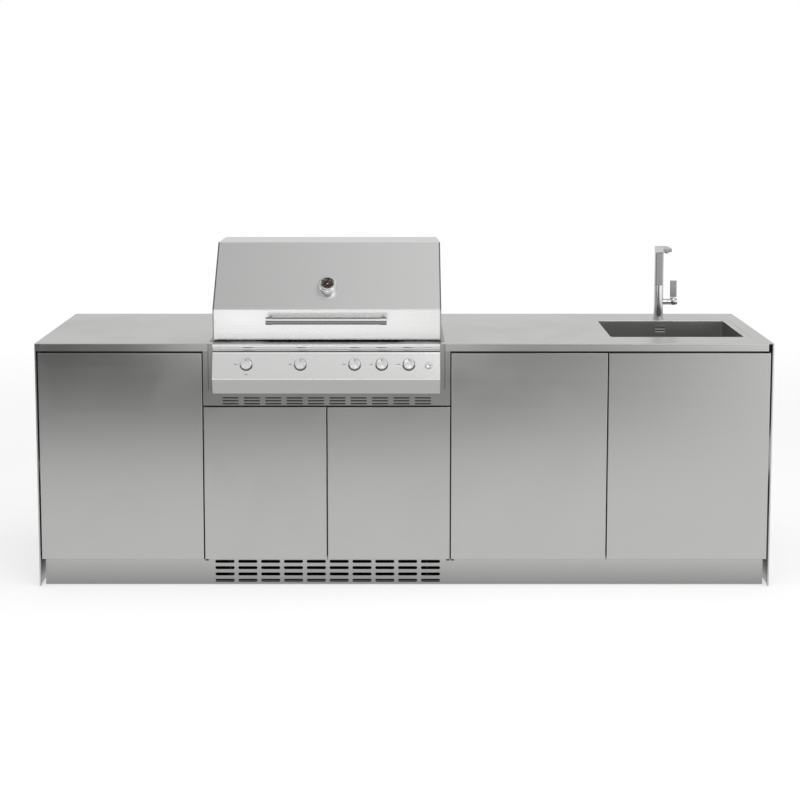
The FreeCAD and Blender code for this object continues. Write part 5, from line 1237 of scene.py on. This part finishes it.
# %% Burner slots and tile holes
BURNER_COUNT = 4
SLOT_COUNT, SLOT_PITCH, SLOT_START = 25, 13.0 * MM, 0.06
SLOT_TILT = math.radians(38.0)
SLOT_SIZE, SLOT_FOLD = (1.6, 6.0, 0.3), 0.1
tube_low, tube_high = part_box("main_burners")
tube_radius = (tube_high.z - tube_low.z) / 2
spots = []
for x in spread(tube_low.x + tube_radius, tube_high.x - tube_radius, BURNER_COUNT):
    middle = Vector((x, 0, (tube_low.z + tube_high.z) / 2))
    for side in (-1, 1):
        facing = Vector((side * math.sin(SLOT_TILT), 0, math.cos(SLOT_TILT)))
        for step in range(SLOT_COUNT):
            y = tube_high.y - SLOT_START - step * SLOT_PITCH
            spots.append(Spot(middle + facing * tube_radius + Y_AXIS * y, facing, facing.cross(Y_AXIS)))
repeated("burner_slots", block(SLOT_SIZE, SLOT_FOLD), spots, ink_and_shade_black, "cabinet")

TILE_FRAME, TILE_RECESS, HOLE_PITCH = 12.0 * MM, 6.0 * MM, 9.0 * MM
HOLE = ((2.9, -0.1), (2.8, 0.3), (2.4, 0.35), (1.9, 0.1), (0, 0.08))
HOLE_STEPS = 12
tile_low, tile_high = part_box("rear_burner")


def hole_row(low, high):
    """Evenly spaced holes inside the tile's frame, about its middle."""
    count = int((high - low - 2 * TILE_FRAME) / HOLE_PITCH)
    return [(low + high) / 2 + (step - (count - 1) / 2) * HOLE_PITCH for step in range(count)]


spots = [Spot(Vector((x, tile_low.y + TILE_RECESS, z)), -Y_AXIS, Z_AXIS)
         for x in hole_row(tile_low.x, tile_high.x) for z in hole_row(tile_low.z, tile_high.z)]
hole = lathe(Vector(), Z_AXIS, [Row(*row) for row in HOLE], HOLE_STEPS)
repeated("tile_holes", hole, spots, ink_and_shade_black, "cabinet")

# %% [markdown]
# ## Sink and tap
# The overflow cover has two louvres, pressed outwards below slots, so that water runs in. The slots are black
# blocks, painted shade for the openings, and the lips take a bright steel as a painted highlight. Both are
# short blocks with rounded edges, the lips tipped forward.

# %% Overflow louvres
LOUVRE_LENGTH, LOUVRE_PITCH = 40.0, 11.0
LOUVRE_TIP = math.radians(28.0)
SLIT_SIZE, SLIT_FOLD = (LOUVRE_LENGTH - 2, 0.5, 3.6), 0.15
LIP_SIZE, LIP_FOLD = (LOUVRE_LENGTH, 1.2, 3.4), 0.4
LIP_PLACE = Vector((0, -0.7, -3.4)) * MM
SLIT_SHADE = 1
cover_low, cover_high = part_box("overflow_cover")
cover_middle = (cover_low + cover_high) / 2
tip_up = Vector((0, -math.sin(LOUVRE_TIP), math.cos(LOUVRE_TIP)))
mesh = bmesh.new()
for side in (-0.5, 0.5):
    place = Vector((cover_middle.x, cover_low.y, cover_middle.z + side * LOUVRE_PITCH * MM))
    bar(mesh, place, AXES, SLIT_SIZE, SLIT_FOLD, SLIT_SHADE)
    bar(mesh, place + LIP_PLACE, (X_AXIS, X_AXIS.cross(tip_up), tip_up), LIP_SIZE, LIP_FOLD)
piece("overflow_louvres", mesh, [handle_highlight_steel, ink_and_shade_black], "cabinet")
print("louvres:", 2)

# %% [markdown]
# The lever tips on a cross pin in the end of its stem. A round hub, turned about that pin, hides the joint,
# and the paddle stands on it with a short foot. The foot is in a bright steel: a painted highlight where the
# paddle meets the hub. The hub turns about its own axis when the lever tips, so it never leaves the stem
# bare.

# %% Lever hub
HUB_RADIUS, HUB_HALF, HUB_STEPS = 14.0, 12.6, 64
HUB_CURVE = ((-HUB_RADIUS, 0), (-5.0, 0), (-2.2, 1.4), (-0.6, 4.6), (0, 11.4), (-0.5, 12.1))
FOOT_PLAY_X, FOOT_PLAY_Y, FOOT_HEIGHT, FOOT_RISE, FOOT_FOLD = 1.0, 0.6, 8.0, 14.5, 0.8
FOOT_HIGHLIGHT = 1
flow_origin, flow_axis = joint_line("lever_flow")
paddle_low, paddle_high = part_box("tap_lever")
paddle = (paddle_high - paddle_low) / MM
half = rows_from(HUB_RADIUS, -HUB_HALF, HUB_CURVE)
other_half = [Row(row.radius, -row.height) for row in half[::-1]]
mesh = lathe(flow_origin, flow_axis, half + other_half, HUB_STEPS)
bar(mesh, flow_origin + Z_AXIS * FOOT_RISE * MM, AXES,
    (paddle.x - FOOT_PLAY_X, paddle.y - FOOT_PLAY_Y, FOOT_HEIGHT), FOOT_FOLD, FOOT_HIGHLIGHT)
piece("lever_hub", mesh, [tap_chrome, handle_highlight_steel], "tap_lever")
print("hub of", 2 * HUB_RADIUS, "mm")

# %% [markdown]
# Under the tip of the spout sits the aerator: a ring with a screen of fine steps that breaks the water.

# %% Aerator
AERATOR_RADIUS, AERATOR_STEPS = 9.2, 48
NOZZLE_INSET, NOZZLE_WALL = 20.0, 1.5
AERATOR_EDGE, SCREEN_EDGE = ((0, -0.5), (0, 0.7), (-0.4, 1.0), (-1.6, 1.0)), ((-1.9, 0.2),)
SCREEN_RINGS, SCREEN_PITCH, SCREEN_INSET, SCREEN_LEVEL = 6, 1.1, 2.3, 0.15
SCREEN_RIDGE = ((0, 0), (-0.4, 0.4), (-0.7, 0))
SCREEN = 1
spout_low, spout_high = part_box("tap_spout")
outlet = Vector(((spout_low.x + spout_high.x) / 2, spout_low.y + NOZZLE_INSET * MM, 0))
outlet.z = min(vert.co.z for vert in nodes["tap_spout"].data.vertices
               if (vert.co.xy - outlet.xy).length < (AERATOR_RADIUS + NOZZLE_WALL) * MM)
profile = rows_from(AERATOR_RADIUS, 0, AERATOR_EDGE) + rows_from(AERATOR_RADIUS, 0, SCREEN_EDGE, SCREEN)
for ring in range(SCREEN_RINGS):
    radius = AERATOR_RADIUS - SCREEN_INSET - ring * SCREEN_PITCH
    profile += rows_from(radius, SCREEN_LEVEL, SCREEN_RIDGE, SCREEN)
profile.append(Row(0, SCREEN_LEVEL, SCREEN))
piece("spout_aerator", lathe(outlet, -Z_AXIS, profile, AERATOR_STEPS), [tap_chrome, black_and_shade_plastic], "tap_spout")
print("aerator at", round(outlet.z / MM), "mm")
